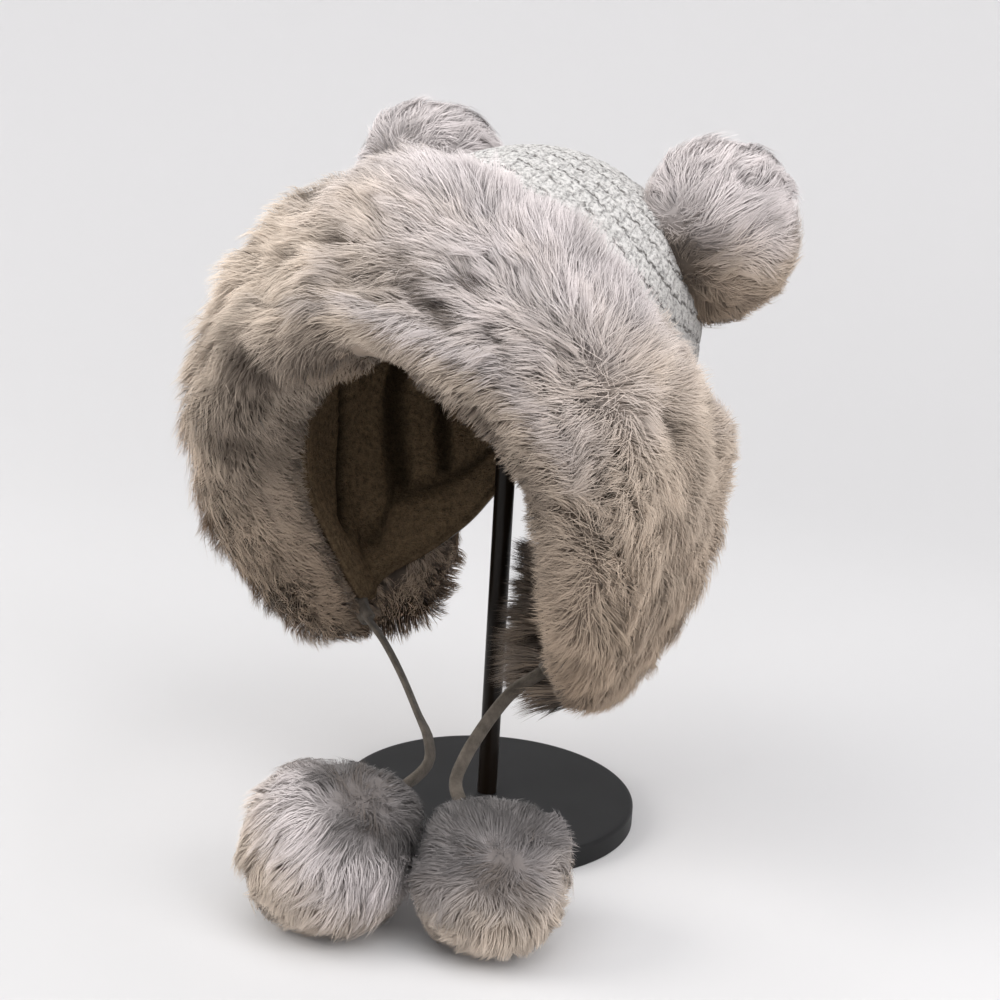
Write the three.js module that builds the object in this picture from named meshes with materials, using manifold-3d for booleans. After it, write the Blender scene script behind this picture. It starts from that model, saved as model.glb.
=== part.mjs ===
// Knit trapper hat with pompoms, resting on a small round-based display stand.
// Millimetres. +X is the wearer's left, the hat faces -Y, +Z is up.
// The origin is the centre of the stand base's underside.
import * as THREE from 'three';
import Module from 'manifold-3d';

const manifoldModule = await Module();
manifoldModule.setup();
const { Manifold, Mesh: ManifoldMesh } = manifoldModule;

const DEG = Math.PI / 180;
const GAP = 0.3;

// Display stand
const BASE_RADIUS = 76;
const BASE_THICKNESS = 11;
const BASE_EDGE_BEVEL = 1.8;
const BASE_FOOT_BEVEL = 1;
const BASE_SEGMENTS = 48;
const POLE_RADIUS = 5;
const POLE_SEGMENTS = 20;
const DOME_CENTRE_Y = 14;
const DOME_HALF_WIDTH = 52;
const DOME_HALF_DEPTH = 40;
const DOME_RISE = 34;
const DOME_PLATE = 6;
const DOME_TOP = 330;
const DOME_SEGMENTS = 24;

// Hat placement on the stand: tilted back, then leaned towards the wearer's left
const HAT_PIVOT_HEIGHT = 210;
const HAT_TILT_BACK = 20;
const HAT_LEAN = 2.2;
const HAT_SHIFT = new THREE.Vector3(-4, 0, -2);
const FLAP_SWAY = 12;

// Hat shell, in the hat's own upright frame; level 0 is the forehead edge
const COLUMNS = 40;
const LOWER_ROWS = 6;
const UPPER_ROWS = 7;
const ROWS = LOWER_ROWS + UPPER_ROWS;
const TOP_LEVEL = 132;
const TOP_DROP = 30;
const TOP_ROUNDING = 55;
const LINING_THICKNESS = 5;
const LINING_GROOVE = 2.2;
const LINING_GROOVE_EVERY = 4;
const WALL_GAP = 0.4;
const KNIT_THICKNESS = 3.5;
const KNIT_OUTER = WALL_GAP / 2 + KNIT_THICKNESS;

// Half width, front depth, back depth and narrowing of the back of the shell at each level
const SECTIONS = [
  { level: -125, half: 46, front: 56, back: 20, pinch: 0.5 },
  { level: -90, half: 66, front: 88, back: 26, pinch: 0.5 },
  { level: -50, half: 86, front: 110, back: 36, pinch: 0.5 },
  { level: -20, half: 90, front: 111, back: 46, pinch: 0.4 },
  { level: 20, half: 88, front: 103, back: 62, pinch: 0.15 },
  { level: 50, half: 83, front: 96, back: 73, pinch: 0 },
  { level: 80, half: 79, front: 86, back: 76, pinch: 0 },
  { level: 110, half: 73, front: 74, back: 70, pinch: 0 },
  { level: 132, half: 67, front: 64, back: 60, pinch: 0 },
];

// Hem level, top edge of the fur, pile length, underside and reach of the pile past the hem
const BAND = [
  { angle: 0, hem: 15, furTop: 73, pile: 42, under: -4, reach: 0.9 },
  { angle: 27, hem: 6, furTop: 58, pile: 45, under: -3, reach: 0.9 },
  { angle: 45, hem: -18, furTop: 40, pile: 49, under: 1, reach: 0.9 },
  { angle: 63, hem: -66, furTop: 22, pile: 43, under: 4, reach: 0.8 },
  { angle: 81, hem: -104, furTop: 10, pile: 32, under: 4, reach: 0.8 },
  { angle: 99, hem: -97, furTop: 8, pile: 28, under: 4, reach: 0.95 },
  { angle: 117, hem: -86, furTop: 8, pile: 25, under: 4, reach: 1.1 },
  { angle: 135, hem: -72, furTop: 10, pile: 24, under: 4, reach: 1.2 },
  { angle: 150, hem: -54, furTop: 12, pile: 22, under: 4, reach: 1.2 },
  { angle: 165, hem: -28, furTop: 12, pile: 20, under: 4, reach: 1 },
  { angle: 180, hem: -14, furTop: 12, pile: 18, under: 4, reach: 1 },
];

// Fur trim outline: share of the way up the backing, reach past its edge, share of the pile
const FUR_LAST_COLUMN = 16;
const FUR_OUTLINE = [
  { share: 1, beyond: 5, height: 0.16 },
  { share: 1, beyond: 16, height: 0.3 },
  { share: 1, beyond: 19, height: 0.52 },
  { share: 1, beyond: 12, height: 0.8 },
  { share: 1, beyond: 0, height: 0.96 },
  { share: 0.86, beyond: 0, height: 1.02 },
  { share: 0.72, beyond: 0, height: 1.03 },
  { share: 0.58, beyond: 0, height: 1.04 },
  { share: 0.44, beyond: 0, height: 1.04 },
  { share: 0.3, beyond: 0, height: 1.03 },
  { share: 0.15, beyond: 0, height: 1.02 },
  { share: 0, beyond: -1, height: 1 },
  { share: 0, beyond: -10, height: 0.94 },
  { share: 0, beyond: -19, height: 0.76 },
  { share: 0, beyond: -24, height: 0.5 },
  { share: 0, beyond: -20, height: 0.28 },
];
const FUR_FLARE = 0.35;
const LOCK_RELIEF = 3.2;
const LOCK_PERIOD = 3;

// Pompoms: centre, radius of the lock tips
const EAR_POMPOM_CENTRE = new THREE.Vector3(82, 8, 111);
const EAR_POMPOM_RADIUS = 42;
const EAR_POMPOM_STRETCH = 1.1;
const TIE_POMPOM_RIGHT = { x: 4, y: -145, radius: 42, flatness: 0.93 };
const TIE_POMPOM_LEFT = { x: 73.4, y: -119, radius: 36.5, flatness: 0.97 };
const POMPOM_MERIDIANS = 16;
const POMPOM_RINGS = 12;
const POMPOM_RELIEF = 0.1;
const POMPOM_REST = 0.96;

// Ties, flat suede-like strips: centre line from the flap tip to the pompom
const TIE_WIDTH = 6.5;
const TIE_DEPTH = 2.4;
const TIE_STEPS = 20;
const TIE_SEAT = 0.72;
const TIE_RIGHT_PATH = [
  { x: -32, y: -55, z: 102 },
  { x: -16, y: -62, z: 90 },
  { x: 0, y: -71, z: 77 },
  { x: 12, y: -79, z: 69 },
  { x: 18, y: -88, z: 61 },
];
const TIE_LEFT_PATH = [
  { x: 43, y: -62, z: 93 },
  { x: 41, y: -72, z: 88 },
  { x: 39, y: -84, z: 80 },
];

function interpolate(table, key, column, at) {
  const x = table.map((row) => row[key]);
  const y = table.map((row) => row[column]);
  const last = x.length - 1;
  if (at <= x[0]) {
    return y[0];
  }
  if (at >= x[last]) {
    return y[last];
  }
  const slope = [];
  for (let i = 0; i < last; i++) {
    slope.push((y[i + 1] - y[i]) / (x[i + 1] - x[i]));
  }
  const tangent = [slope[0]];
  for (let i = 1; i < last; i++) {
    const same = slope[i - 1] * slope[i] > 0;
    tangent.push(same ? (2 * slope[i - 1] * slope[i]) / (slope[i - 1] + slope[i]) : 0);
  }
  tangent.push(slope[last - 1]);
  tangent[0] = key === 'angle' ? 0 : tangent[0];
  let i = 0;
  while (at > x[i + 1]) {
    i++;
  }
  const width = x[i + 1] - x[i];
  const t = (at - x[i]) / width;
  const t2 = t * t;
  const t3 = t2 * t;
  const start = (2 * t3 - 3 * t2 + 1) * y[i] + (t3 - 2 * t2 + t) * width * tangent[i];
  const end = (3 * t2 - 2 * t3) * y[i + 1] + (t3 - t2) * width * tangent[i + 1];
  return start + end;
}

function foldAngle(angle) {
  const turn = ((angle % 360) + 360) % 360;
  return turn > 180 ? 360 - turn : turn;
}

function band(column, angle) {
  return interpolate(BAND, 'angle', column, foldAngle(angle));
}

// Point of the shell's reference surface, between lining and knit, in the hat frame
function shellPoint(angle, row) {
  const sine = Math.sin(angle * DEG);
  const cosine = Math.cos(angle * DEG);
  const hem = band('hem', angle);
  const middle = band('furTop', angle);
  const top = TOP_LEVEL - TOP_DROP * sine * sine;
  let level = hem + ((middle - hem) * row) / LOWER_ROWS;
  if (row > LOWER_ROWS) {
    const rest = 1 - (row - LOWER_ROWS) / UPPER_ROWS;
    level = top - (top - middle) * rest * (0.4 + 0.6 * rest);
  }
  const depth = Math.max(top - level, 0);
  const fall = Math.max(1 - depth / TOP_ROUNDING, 0);
  const round = Math.sqrt(1 - fall * fall);
  const reach = interpolate(SECTIONS, 'level', cosine > 0 ? 'front' : 'back', level);
  const half = interpolate(SECTIONS, 'level', 'half', level);
  const pinch = cosine < 0 ? interpolate(SECTIONS, 'level', 'pinch', level) * cosine * cosine : 0;
  const sway = FLAP_SWAY * Math.pow(Math.max(-level, 0) / 104, 1.5);
  const x = half * (1 - pinch) * sine + sway;
  return new THREE.Vector3(x, -reach * round * cosine, level);
}

function rawNormal(angle, row) {
  const inside = Math.min(Math.max(row, 0.02), ROWS - 0.05);
  const along = shellPoint(angle + 0.5, inside).sub(shellPoint(angle - 0.5, inside));
  const up = shellPoint(angle, inside + 0.02).sub(shellPoint(angle, inside - 0.02));
  return along.cross(up).normalize();
}

function shellNormal(angle, row) {
  if (row < ROWS) {
    return rawNormal(angle, row);
  }
  return rawNormal(angle, row).add(rawNormal(180 - angle, row)).normalize();
}

const hatPlacement = new THREE.Matrix4()
  .makeTranslation(HAT_SHIFT.x, HAT_SHIFT.y, HAT_SHIFT.z + HAT_PIVOT_HEIGHT)
  .multiply(new THREE.Matrix4().makeRotationY(HAT_LEAN * DEG))
  .multiply(new THREE.Matrix4().makeRotationX(-HAT_TILT_BACK * DEG));

function placed(point) {
  return point.clone().applyMatrix4(hatPlacement);
}

function offsetPoint(angle, row, offset) {
  return shellPoint(angle, row).addScaledVector(shellNormal(angle, row), offset);
}

// Unit direction in the surface pointing out of the band across its lower or upper edge
function outOfEdge(angle, row) {
  const normal = shellNormal(angle, row);
  const along = shellPoint(angle + 4.5, row).sub(shellPoint(angle - 4.5, row));
  return normal.cross(along).normalize().negate();
}

const COLUMN_STEP = 360 / COLUMNS;
const HALF_TURN = COLUMNS / 2;

function corners(grid, row, column, next) {
  return [grid[row][column], grid[row][next], grid[row + 1][next], grid[row + 1][column]];
}

// Splits a four-sided patch in two, the split leaning the other way on the other half of the hat
function splitQuad(column, [a, b, c, d], triangle) {
  if (column < HALF_TURN) {
    triangle(a, b, c);
    triangle(a, c, d);
  } else {
    triangle(a, b, d);
    triangle(b, c, d);
  }
}

// Closed wall between two offsets of the shell, open at the hem, joined along the top seam
function wallGeometry(outerOffset, innerOffset) {
  const positions = [];
  const index = [];
  const addSide = (offsetAt) => {
    const grid = [];
    for (let row = 0; row <= ROWS; row++) {
      const line = [];
      for (let column = 0; column < COLUMNS; column++) {
        const twin = (HALF_TURN - column + COLUMNS) % COLUMNS;
        if (row === ROWS && grid.length === ROWS && line[twin] !== undefined) {
          line.push(line[twin]);
        } else {
          const angle = column * COLUMN_STEP;
          const point = placed(offsetPoint(angle, row, offsetAt(column, row)));
          line.push(positions.length / 3);
          positions.push(point.x, point.y, point.z);
        }
      }
      grid.push(line);
    }
    return grid;
  };
  const outer = addSide(outerOffset);
  const inner = addSide(innerOffset);
  const triangle = (a, b, c) => {
    if (a !== b && b !== c && c !== a) {
      index.push(a, b, c);
    }
  };
  for (let column = 0; column < COLUMNS; column++) {
    const next = (column + 1) % COLUMNS;
    for (let row = 0; row < ROWS; row++) {
      splitQuad(column, corners(outer, row, column, next), triangle);
      splitQuad(column, corners(inner, row, column, next), (a, b, c) => triangle(a, c, b));
    }
    triangle(outer[0][column], inner[0][next], outer[0][next]);
    triangle(outer[0][column], inner[0][column], inner[0][next]);
  }
  return geometryFrom(positions, index);
}

function geometryFrom(positions, index) {
  const geometry = new THREE.BufferGeometry();
  geometry.setAttribute('position', new THREE.Float32BufferAttribute(positions, 3));
  geometry.setIndex(index);
  return geometry;
}

function liningInner(column, row) {
  const grooved = column % LINING_GROOVE_EVERY === 2 && row > 0 && row < ROWS - 2;
  return -LINING_THICKNESS + (grooved ? LINING_GROOVE : 0);
}

// Fur trim: locks fused to a backing that follows the knit from the hem to its top edge
function furGeometry() {
  const positions = [];
  const index = [];
  const loops = [];
  const first = -FUR_LAST_COLUMN;
  const backing = KNIT_OUTER + 2 * GAP;
  const inside = (column, row) => offsetPoint(column * COLUMN_STEP, row, backing);
  const count = 4 * FUR_LAST_COLUMN;
  for (let step = 0; step <= count; step++) {
    const column = first + step / 2;
    const angle = column * COLUMN_STEP;
    const low = Math.floor(column);
    const high = Math.ceil(column);
    const loop = [];
    for (let row = 0; row <= LOWER_ROWS; row++) {
      loop.push(inside(low, row).add(inside(high, row)).multiplyScalar(0.5));
    }
    const closing = Math.min(1, 0.25 + (count / 2 - Math.abs(step - count / 2)) / 6);
    const pile = band('pile', angle) * closing;
    FUR_OUTLINE.forEach((entry, place) => {
      const row = entry.share * LOWER_ROWS;
      const edge = row === 0 ? 0 : LOWER_ROWS;
      const out = outOfEdge(angle, edge).multiplyScalar(edge === 0 ? 1 : -1);
      const phase = (place + (step % 2) * 2) % LOCK_PERIOD;
      const lock = (LOCK_RELIEF * (phase - 1) * Math.min(1, entry.height)) * closing;
      const height = backing + entry.height * (pile - backing) + lock;
      const reach = edge === 0 ? band('reach', angle) : 1;
      const beyond = Math.abs(entry.beyond) * closing * reach;
      const flare = edge === 0 ? beyond * FUR_FLARE : 0;
      const point = offsetPoint(angle, row, height + flare);
      loop.push(point.addScaledVector(out, beyond));
    });
    const angleUnder = band('under', angle);
    const hemOut = outOfEdge(angle, 0);
    const under = angleUnder < backing ? angleUnder : backing;
    loop.push(offsetPoint(angle, 0, under).addScaledVector(hemOut, 9 * closing));
    loop.push(offsetPoint(angle, 0, under).addScaledVector(hemOut, 1.6));
    loop.push(offsetPoint(angle, 0, backing).addScaledVector(hemOut, 1.2));
    loops.push(loop);
  }
  const size = loops[0].length;
  loops.forEach((loop) => loop.forEach((point) => {
    const at = placed(point);
    positions.push(at.x, at.y, at.z);
  }));
  for (let step = 0; step < count; step++) {
    for (let place = 0; place < size; place++) {
      const next = (place + 1) % size;
      const a = step * size + place;
      const b = step * size + next;
      const c = (step + 1) * size + next;
      const d = (step + 1) * size + place;
      index.push(a, c, d, a, b, c);
    }
  }
  const cap = (step, flip) => {
    const angle = (first + step / 2) * COLUMN_STEP;
    const origin = shellPoint(angle, 0);
    const normal = shellNormal(angle, 3);
    const up = shellPoint(angle, LOWER_ROWS).sub(origin).normalize();
    const flat = loops[step].map((point) => {
      const arm = point.clone().sub(origin);
      return new THREE.Vector2(arm.dot(normal), arm.dot(up));
    });
    const clockwise = THREE.ShapeUtils.area(flat) < 0;
    THREE.ShapeUtils.triangulateShape(flat, []).forEach((face) => {
      const corners = face.map((place) => step * size + place);
      const turned = clockwise !== flip ? corners : [corners[0], corners[2], corners[1]];
      index.push(turned[0], turned[1], turned[2]);
    });
  };
  cap(0, false);
  cap(count, true);
  return geometryFrom(positions, index);
}

// Ball of pointed locks; the locks lie in a staggered pattern round the core
function pompomGeometry(radius, stretch, floor) {
  const positions = [0, 0, radius * stretch];
  const index = [];
  for (let ring = 1; ring < POMPOM_RINGS; ring++) {
    const polar = (Math.PI * ring) / POMPOM_RINGS;
    for (let spoke = 0; spoke < POMPOM_MERIDIANS; spoke++) {
      const turn = ((spoke + (ring % 2) / 2) * 2 * Math.PI) / POMPOM_MERIDIANS;
      const tip = (spoke + ring) % 2 === 0 ? 1 : 1 - POMPOM_RELIEF;
      const reach = radius * tip;
      positions.push(reach * Math.sin(polar) * Math.cos(turn));
      positions.push(reach * Math.sin(polar) * Math.sin(turn));
      positions.push(Math.max(reach * stretch * Math.cos(polar), floor));
    }
  }
  positions.push(0, 0, Math.max(-radius * stretch, floor));
  const at = (ring, spoke) => 1 + (ring - 1) * POMPOM_MERIDIANS + (spoke % POMPOM_MERIDIANS);
  const end = positions.length / 3 - 1;
  for (let spoke = 0; spoke < POMPOM_MERIDIANS; spoke++) {
    index.push(0, at(1, spoke), at(1, spoke + 1));
    index.push(end, at(POMPOM_RINGS - 1, spoke + 1), at(POMPOM_RINGS - 1, spoke));
    for (let ring = 1; ring < POMPOM_RINGS - 1; ring++) {
      const shift = ring % 2;
      const a = at(ring, spoke);
      const b = at(ring, spoke + 1);
      const c = at(ring + 1, spoke + shift);
      const d = at(ring + 1, spoke + shift + 1);
      if (shift === 1) {
        index.push(a, c, b, b, c, d);
      } else {
        index.push(a, c, d, a, d, b);
      }
    }
  }
  return geometryFrom(positions, index);
}

function toManifold(geometry) {
  const vertProperties = new Float32Array(geometry.getAttribute('position').array);
  const triVerts = new Uint32Array(geometry.getIndex().array);
  return new Manifold(new ManifoldMesh({ numProp: 3, vertProperties, triVerts }));
}

function fromManifold(solid) {
  const mesh = solid.getMesh();
  return geometryFrom(Array.from(mesh.vertProperties), Array.from(mesh.triVerts));
}

// Solid filling the whole hat out to an offset of the shell
function hatBlank(offset) {
  const positions = [];
  const index = [];
  const grid = [];
  for (let row = 0; row <= ROWS; row++) {
    const line = [];
    for (let column = 0; column < COLUMNS; column++) {
      const twin = (HALF_TURN - column + COLUMNS) % COLUMNS;
      if (row === ROWS && line[twin] !== undefined) {
        line.push(line[twin]);
      } else {
        const point = placed(offsetPoint(column * COLUMN_STEP, row, offset));
        line.push(positions.length / 3);
        positions.push(point.x, point.y, point.z);
      }
    }
    grid.push(line);
  }
  const middle = positions.length / 3;
  const centre = placed(new THREE.Vector3(0, 0, 0));
  positions.push(centre.x, centre.y, centre.z);
  for (let column = 0; column < COLUMNS; column++) {
    const next = (column + 1) % COLUMNS;
    index.push(middle, grid[0][next], grid[0][column]);
    for (let row = 0; row < ROWS; row++) {
      splitQuad(column, corners(grid, row, column, next), (a, b, c) => {
        if (a !== b && b !== c && c !== a) {
          index.push(a, b, c);
        }
      });
    }
  }
  return toManifold(geometryFrom(positions, index));
}

function earPompom(side, blank, wallRoom) {
  const centre = placed(EAR_POMPOM_CENTRE.clone().setX(side * EAR_POMPOM_CENTRE.x));
  const ball = pompomGeometry(EAR_POMPOM_RADIUS, EAR_POMPOM_STRETCH, -2 * EAR_POMPOM_RADIUS);
  ball.translate(centre.x, centre.y, centre.z);
  const pieces = toManifold(ball).subtract(blank).subtract(wallRoom).decompose();
  pieces.sort((a, b) => b.volume() - a.volume());
  return fromManifold(pieces[0]);
}

// Ball resting on the table, with a snug slot where its tie goes in
function tiePompom(side, table, place) {
  const height = POMPOM_REST * place.flatness * place.radius;
  const ball = pompomGeometry(place.radius, place.flatness, -height + GAP);
  ball.translate(place.x, place.y, height);
  const slot = tieGeometry(tiePath(side, table, place, GAP), GAP);
  return fromManifold(toManifold(ball).subtract(toManifold(welded(slot))));
}

function tieGeometry(points, margin) {
  const outline = new THREE.Shape();
  for (let corner = 0; corner < 8; corner++) {
    const turn = (corner + 0.5) * 45 * DEG;
    const x = (TIE_DEPTH / 2 + margin) * Math.cos(turn) * 1.08;
    const y = (TIE_WIDTH / 2 + margin) * Math.sin(turn) * 1.08;
    if (corner === 0) {
      outline.moveTo(x, y);
    } else {
      outline.lineTo(x, y);
    }
  }
  outline.closePath();
  const path = new THREE.CatmullRomCurve3(points);
  return new THREE.ExtrudeGeometry(outline, { steps: TIE_STEPS, extrudePath: path });
}

function tiePath(side, table, pompom, further) {
  const tip = side * 81;
  const anchor = offsetPoint(tip, 0, -0.8);
  const out = outOfEdge(tip, 0);
  const start = placed(anchor.clone().addScaledVector(out, GAP + 0.2));
  const below = placed(anchor.clone().addScaledVector(out, 6));
  const points = [start, below];
  table.forEach((row) => points.push(new THREE.Vector3(row.x, row.y, row.z)));
  const height = POMPOM_REST * pompom.flatness * pompom.radius;
  const centre = new THREE.Vector3(pompom.x, pompom.y, height);
  const last = points[points.length - 1];
  const entry = last.clone().sub(centre).setLength(pompom.radius * TIE_SEAT - further);
  points.push(centre.clone().add(entry));
  return points;
}

function lathe(profile, segments) {
  const points = profile.map(([radius, height]) => new THREE.Vector2(radius, height));
  return new THREE.LatheGeometry(points, segments).rotateX(Math.PI / 2);
}

function welded(geometry) {
  const bare = new THREE.BufferGeometry();
  bare.setAttribute('position', geometry.getAttribute('position'));
  if (geometry.getIndex()) {
    bare.setIndex(geometry.getIndex());
  }
  return mergeByPosition(bare);
}

function mergeByPosition(geometry) {
  const source = geometry.getAttribute('position');
  const order = geometry.getIndex();
  const seen = new Map();
  const positions = [];
  const index = [];
  const total = order ? order.count : source.count;
  const corners = [];
  for (let i = 0; i < total; i++) {
    const vertex = order ? order.getX(i) : i;
    const place = [source.getX(vertex), source.getY(vertex), source.getZ(vertex)];
    const key = place.map((value) => Math.round(value * 1e4)).join(',');
    if (!seen.has(key)) {
      seen.set(key, positions.length / 3);
      positions.push(place[0], place[1], place[2]);
    }
    corners.push(seen.get(key));
  }
  for (let i = 0; i < corners.length; i += 3) {
    const [a, b, c] = corners.slice(i, i + 3);
    if (a !== b && b !== c && c !== a) {
      index.push(a, b, c);
    }
  }
  return geometryFrom(positions, index);
}

const COLOURS = {
  knit: new THREE.MeshStandardMaterial({ color: 0xc6c4c2, roughness: 0.95, metalness: 0 }),
  plush: new THREE.MeshStandardMaterial({ color: 0x57493d, roughness: 1, metalness: 0 }),
  fur: new THREE.MeshStandardMaterial({ color: 0xa89a90, roughness: 1, metalness: 0 }),
  tie: new THREE.MeshStandardMaterial({ color: 0x6d6157, roughness: 0.9, metalness: 0 }),
  stand: new THREE.MeshStandardMaterial({ color: 0x17171a, roughness: 0.4, metalness: 0.1 }),
};

const hat = new THREE.Group();
hat.name = 'knit_trapper_hat_on_stand';

function add(name, geometry, material) {
  const mesh = new THREE.Mesh(welded(geometry), material);
  mesh.geometry.computeVertexNormals();
  mesh.name = name;
  hat.add(mesh);
}

const baseProfile = [
  [0, 0],
  [BASE_RADIUS - BASE_FOOT_BEVEL, 0],
  [BASE_RADIUS, BASE_FOOT_BEVEL],
  [BASE_RADIUS, BASE_THICKNESS - BASE_EDGE_BEVEL],
  [BASE_RADIUS - BASE_EDGE_BEVEL, BASE_THICKNESS],
  [0, BASE_THICKNESS],
];
add('stand_base', lathe(baseProfile, BASE_SEGMENTS), COLOURS.stand);

const domeFoot = DOME_TOP - DOME_RISE - DOME_PLATE;
const poleProfile = [
  [0, BASE_THICKNESS + GAP],
  [POLE_RADIUS, BASE_THICKNESS + GAP],
  [POLE_RADIUS, domeFoot - GAP],
  [0, domeFoot - GAP],
];
add('stand_pole', lathe(poleProfile, POLE_SEGMENTS), COLOURS.stand);

const domeProfile = [[0, 0], [0.97, 0], [1, DOME_PLATE * 0.4]];
for (let step = 0; step < 8; step++) {
  const turn = (step * 90 * DEG) / 8;
  domeProfile.push([Math.cos(turn), DOME_PLATE + DOME_RISE * Math.sin(turn)]);
}
domeProfile.push([0, DOME_PLATE + DOME_RISE]);
const standDome = lathe(domeProfile, DOME_SEGMENTS);
standDome.scale(DOME_HALF_WIDTH, DOME_HALF_DEPTH, 1);
standDome.translate(0, DOME_CENTRE_Y, domeFoot);
add('stand_dome', standDome, COLOURS.stand);

add('plush_lining', wallGeometry(() => -WALL_GAP / 2, liningInner), COLOURS.plush);
add('knit_crown', wallGeometry(() => KNIT_OUTER, () => WALL_GAP / 2), COLOURS.knit);
const wallRoom = toManifold(wallGeometry(() => KNIT_OUTER + GAP, () => -LINING_THICKNESS - GAP));
add('fur_trim', fromManifold(toManifold(welded(furGeometry())).subtract(wallRoom)), COLOURS.fur);

const blank = hatBlank(KNIT_OUTER + 3 * GAP);
add('ear_pompom_right', earPompom(-1, blank, wallRoom), COLOURS.fur);
add('ear_pompom_left', earPompom(1, blank, wallRoom), COLOURS.fur);
add('tie_pompom_right', tiePompom(-1, TIE_RIGHT_PATH, TIE_POMPOM_RIGHT), COLOURS.fur);
add('tie_pompom_left', tiePompom(1, TIE_LEFT_PATH, TIE_POMPOM_LEFT), COLOURS.fur);
add('tie_right', tieGeometry(tiePath(-1, TIE_RIGHT_PATH, TIE_POMPOM_RIGHT, 0), 0), COLOURS.tie);
add('tie_left', tieGeometry(tiePath(1, TIE_LEFT_PATH, TIE_POMPOM_LEFT, 0), 0), COLOURS.tie);

export default hat;
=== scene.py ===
"""Knit trapper hat with a deep faux-fur trim, ear pompoms and two pompom ties, on a round display stand.

The hat's own shapes are worked out in millimetres in an upright hat frame, where level 0 is the
forehead edge, and then seated on the stand in metres. +X is the wearer's left and the hat faces -Y.
"""

import math

import bpy
import numpy as np
from bpy.props import FloatProperty, FloatVectorProperty, IntProperty, PointerProperty
from mathutils import Matrix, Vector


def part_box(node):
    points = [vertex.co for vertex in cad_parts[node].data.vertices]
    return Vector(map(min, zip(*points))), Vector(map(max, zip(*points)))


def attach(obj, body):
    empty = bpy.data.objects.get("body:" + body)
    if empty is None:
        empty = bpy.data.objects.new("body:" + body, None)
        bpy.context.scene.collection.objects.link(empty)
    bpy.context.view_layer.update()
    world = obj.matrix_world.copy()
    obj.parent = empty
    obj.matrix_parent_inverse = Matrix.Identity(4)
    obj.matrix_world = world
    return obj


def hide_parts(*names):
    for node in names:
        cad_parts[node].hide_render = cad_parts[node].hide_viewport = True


bl_info = {
    "name": "Knit Trapper Hat",
    "version": (1, 0, 0),
    "blender": (4, 5, 0),
    "location": "View3D > Sidebar > Trapper Hat",
    "description": "Builds a knit trapper hat with faux-fur trim and pompoms on its display stand",
    "category": "Add Mesh",
}

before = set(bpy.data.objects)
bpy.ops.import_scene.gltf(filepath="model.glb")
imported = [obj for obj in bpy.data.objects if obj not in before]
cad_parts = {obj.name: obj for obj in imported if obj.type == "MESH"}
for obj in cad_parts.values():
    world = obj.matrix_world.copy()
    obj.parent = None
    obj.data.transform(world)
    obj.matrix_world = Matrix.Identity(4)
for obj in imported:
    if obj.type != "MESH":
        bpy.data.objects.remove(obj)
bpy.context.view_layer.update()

MM = 0.001

# Seat of the hat on its stand: shift in millimetres, tilt back about X, lean about Y
HAT_SHIFT = np.array([-4.0, 0.0, 208.0])
TILT_BACK = math.radians(20)
LEAN = math.radians(2.2)
# How far the flaps swing towards the wearer's left, where they hang lowest
FLAP_SWAY = 12.0
FLAP_DROP = 104.0

# Shell between lining and knit, by level
TOP_LEVEL = 132.0
TOP_DROP = 30.0
TOP_ROUNDING = 55.0
LOWER_ROWS = 6
ROWS = 13
SECTION_LEVELS = [-125, -90, -50, -20, 20, 50, 80, 110, 132]
SECTIONS = {
    "half": [46, 66, 86, 90, 88, 83, 79, 73, 67],
    "front": [56, 88, 110, 111, 103, 96, 86, 74, 64],
    "back": [20, 26, 36, 46, 62, 73, 76, 70, 60],
    "pinch": [0.5, 0.5, 0.5, 0.4, 0.15, 0, 0, 0, 0],
}

# Hem, top of the fur, pile, underside and reach of the pile past the hem, by angle from the front
BAND_ANGLES = [0, 27, 45, 63, 81, 99, 117, 135, 150, 165, 180]
BAND = {
    "hem": [15, 6, -18, -66, -104, -97, -86, -72, -54, -28, -14],
    "fur_top": [73, 58, 40, 22, 10, 8, 8, 10, 12, 12, 12],
    "pile": [42, 45, 49, 43, 32, 28, 25, 24, 22, 20, 18],
    "under": [-4, -3, 1, 4, 4, 4, 4, 4, 4, 4, 4],
    "reach": [0.9, 0.9, 0.9, 0.7, 0.5, 0.9, 1.1, 1.2, 1.2, 1, 1],
}
# Angle where the trim ends at the back, outward flare past the hem, and offsets of knit and fur backing
FUR_END = 144.0
FUR_FLARE = 0.35
KNIT_OUTER = 3.7
FUR_BACKING = 4.3

# Outline of the fur roll from the knit over the bulge to the underside of the hem:
# share of the way up the band, over its top edge, past its hem, share of the pile, hold on the underside
FUR_OUTLINE = np.array([
    (1, 5, 0, 0.16, 0),
    (1, 16, 0, 0.3, 0),
    (1, 19, 0, 0.52, 0),
    (1, 12, 0, 0.8, 0),
    (1, 0, 0, 0.96, 0),
    (0.86, 0, 0, 1.02, 0),
    (0.72, 0, 0, 1.03, 0),
    (0.58, 0, 0, 1.04, 0),
    (0.44, 0, 0, 1.04, 0),
    (0.3, 0, 0, 1.03, 0),
    (0.15, 0, 0, 1.02, 0),
    (0, 0, 1, 1, 0),
    (0, 0, 10, 0.94, 0),
    (0, 0, 19, 0.76, 0),
    (0, 0, 24, 0.5, 0),
    (0, 0, 20, 0.28, 0),
    (0, 0, 9, 0.1, 1),
    (0, 0, 1.6, 0, 1),
], float)
FUR_LAST = len(FUR_OUTLINE) - 1

# Near size of a degree and of an outline step on the fur, and of a degree on the lining
MM_PER_DEGREE = 1.9
MM_PER_STEP = 11.0
LINING_MM_PER_DEGREE = 1.5

# Places in the fur where the hair turns away on all sides: angle, outline step
FRONT_WHORL = (47.0, 7.6)
FLAP_WHORL = (59.0, 12.7)
# Side of the fur whose tips are painted cool as light from above, as a direction of the row frame
COOL_SIDE = (0.45, -0.3, 0.85)
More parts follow.
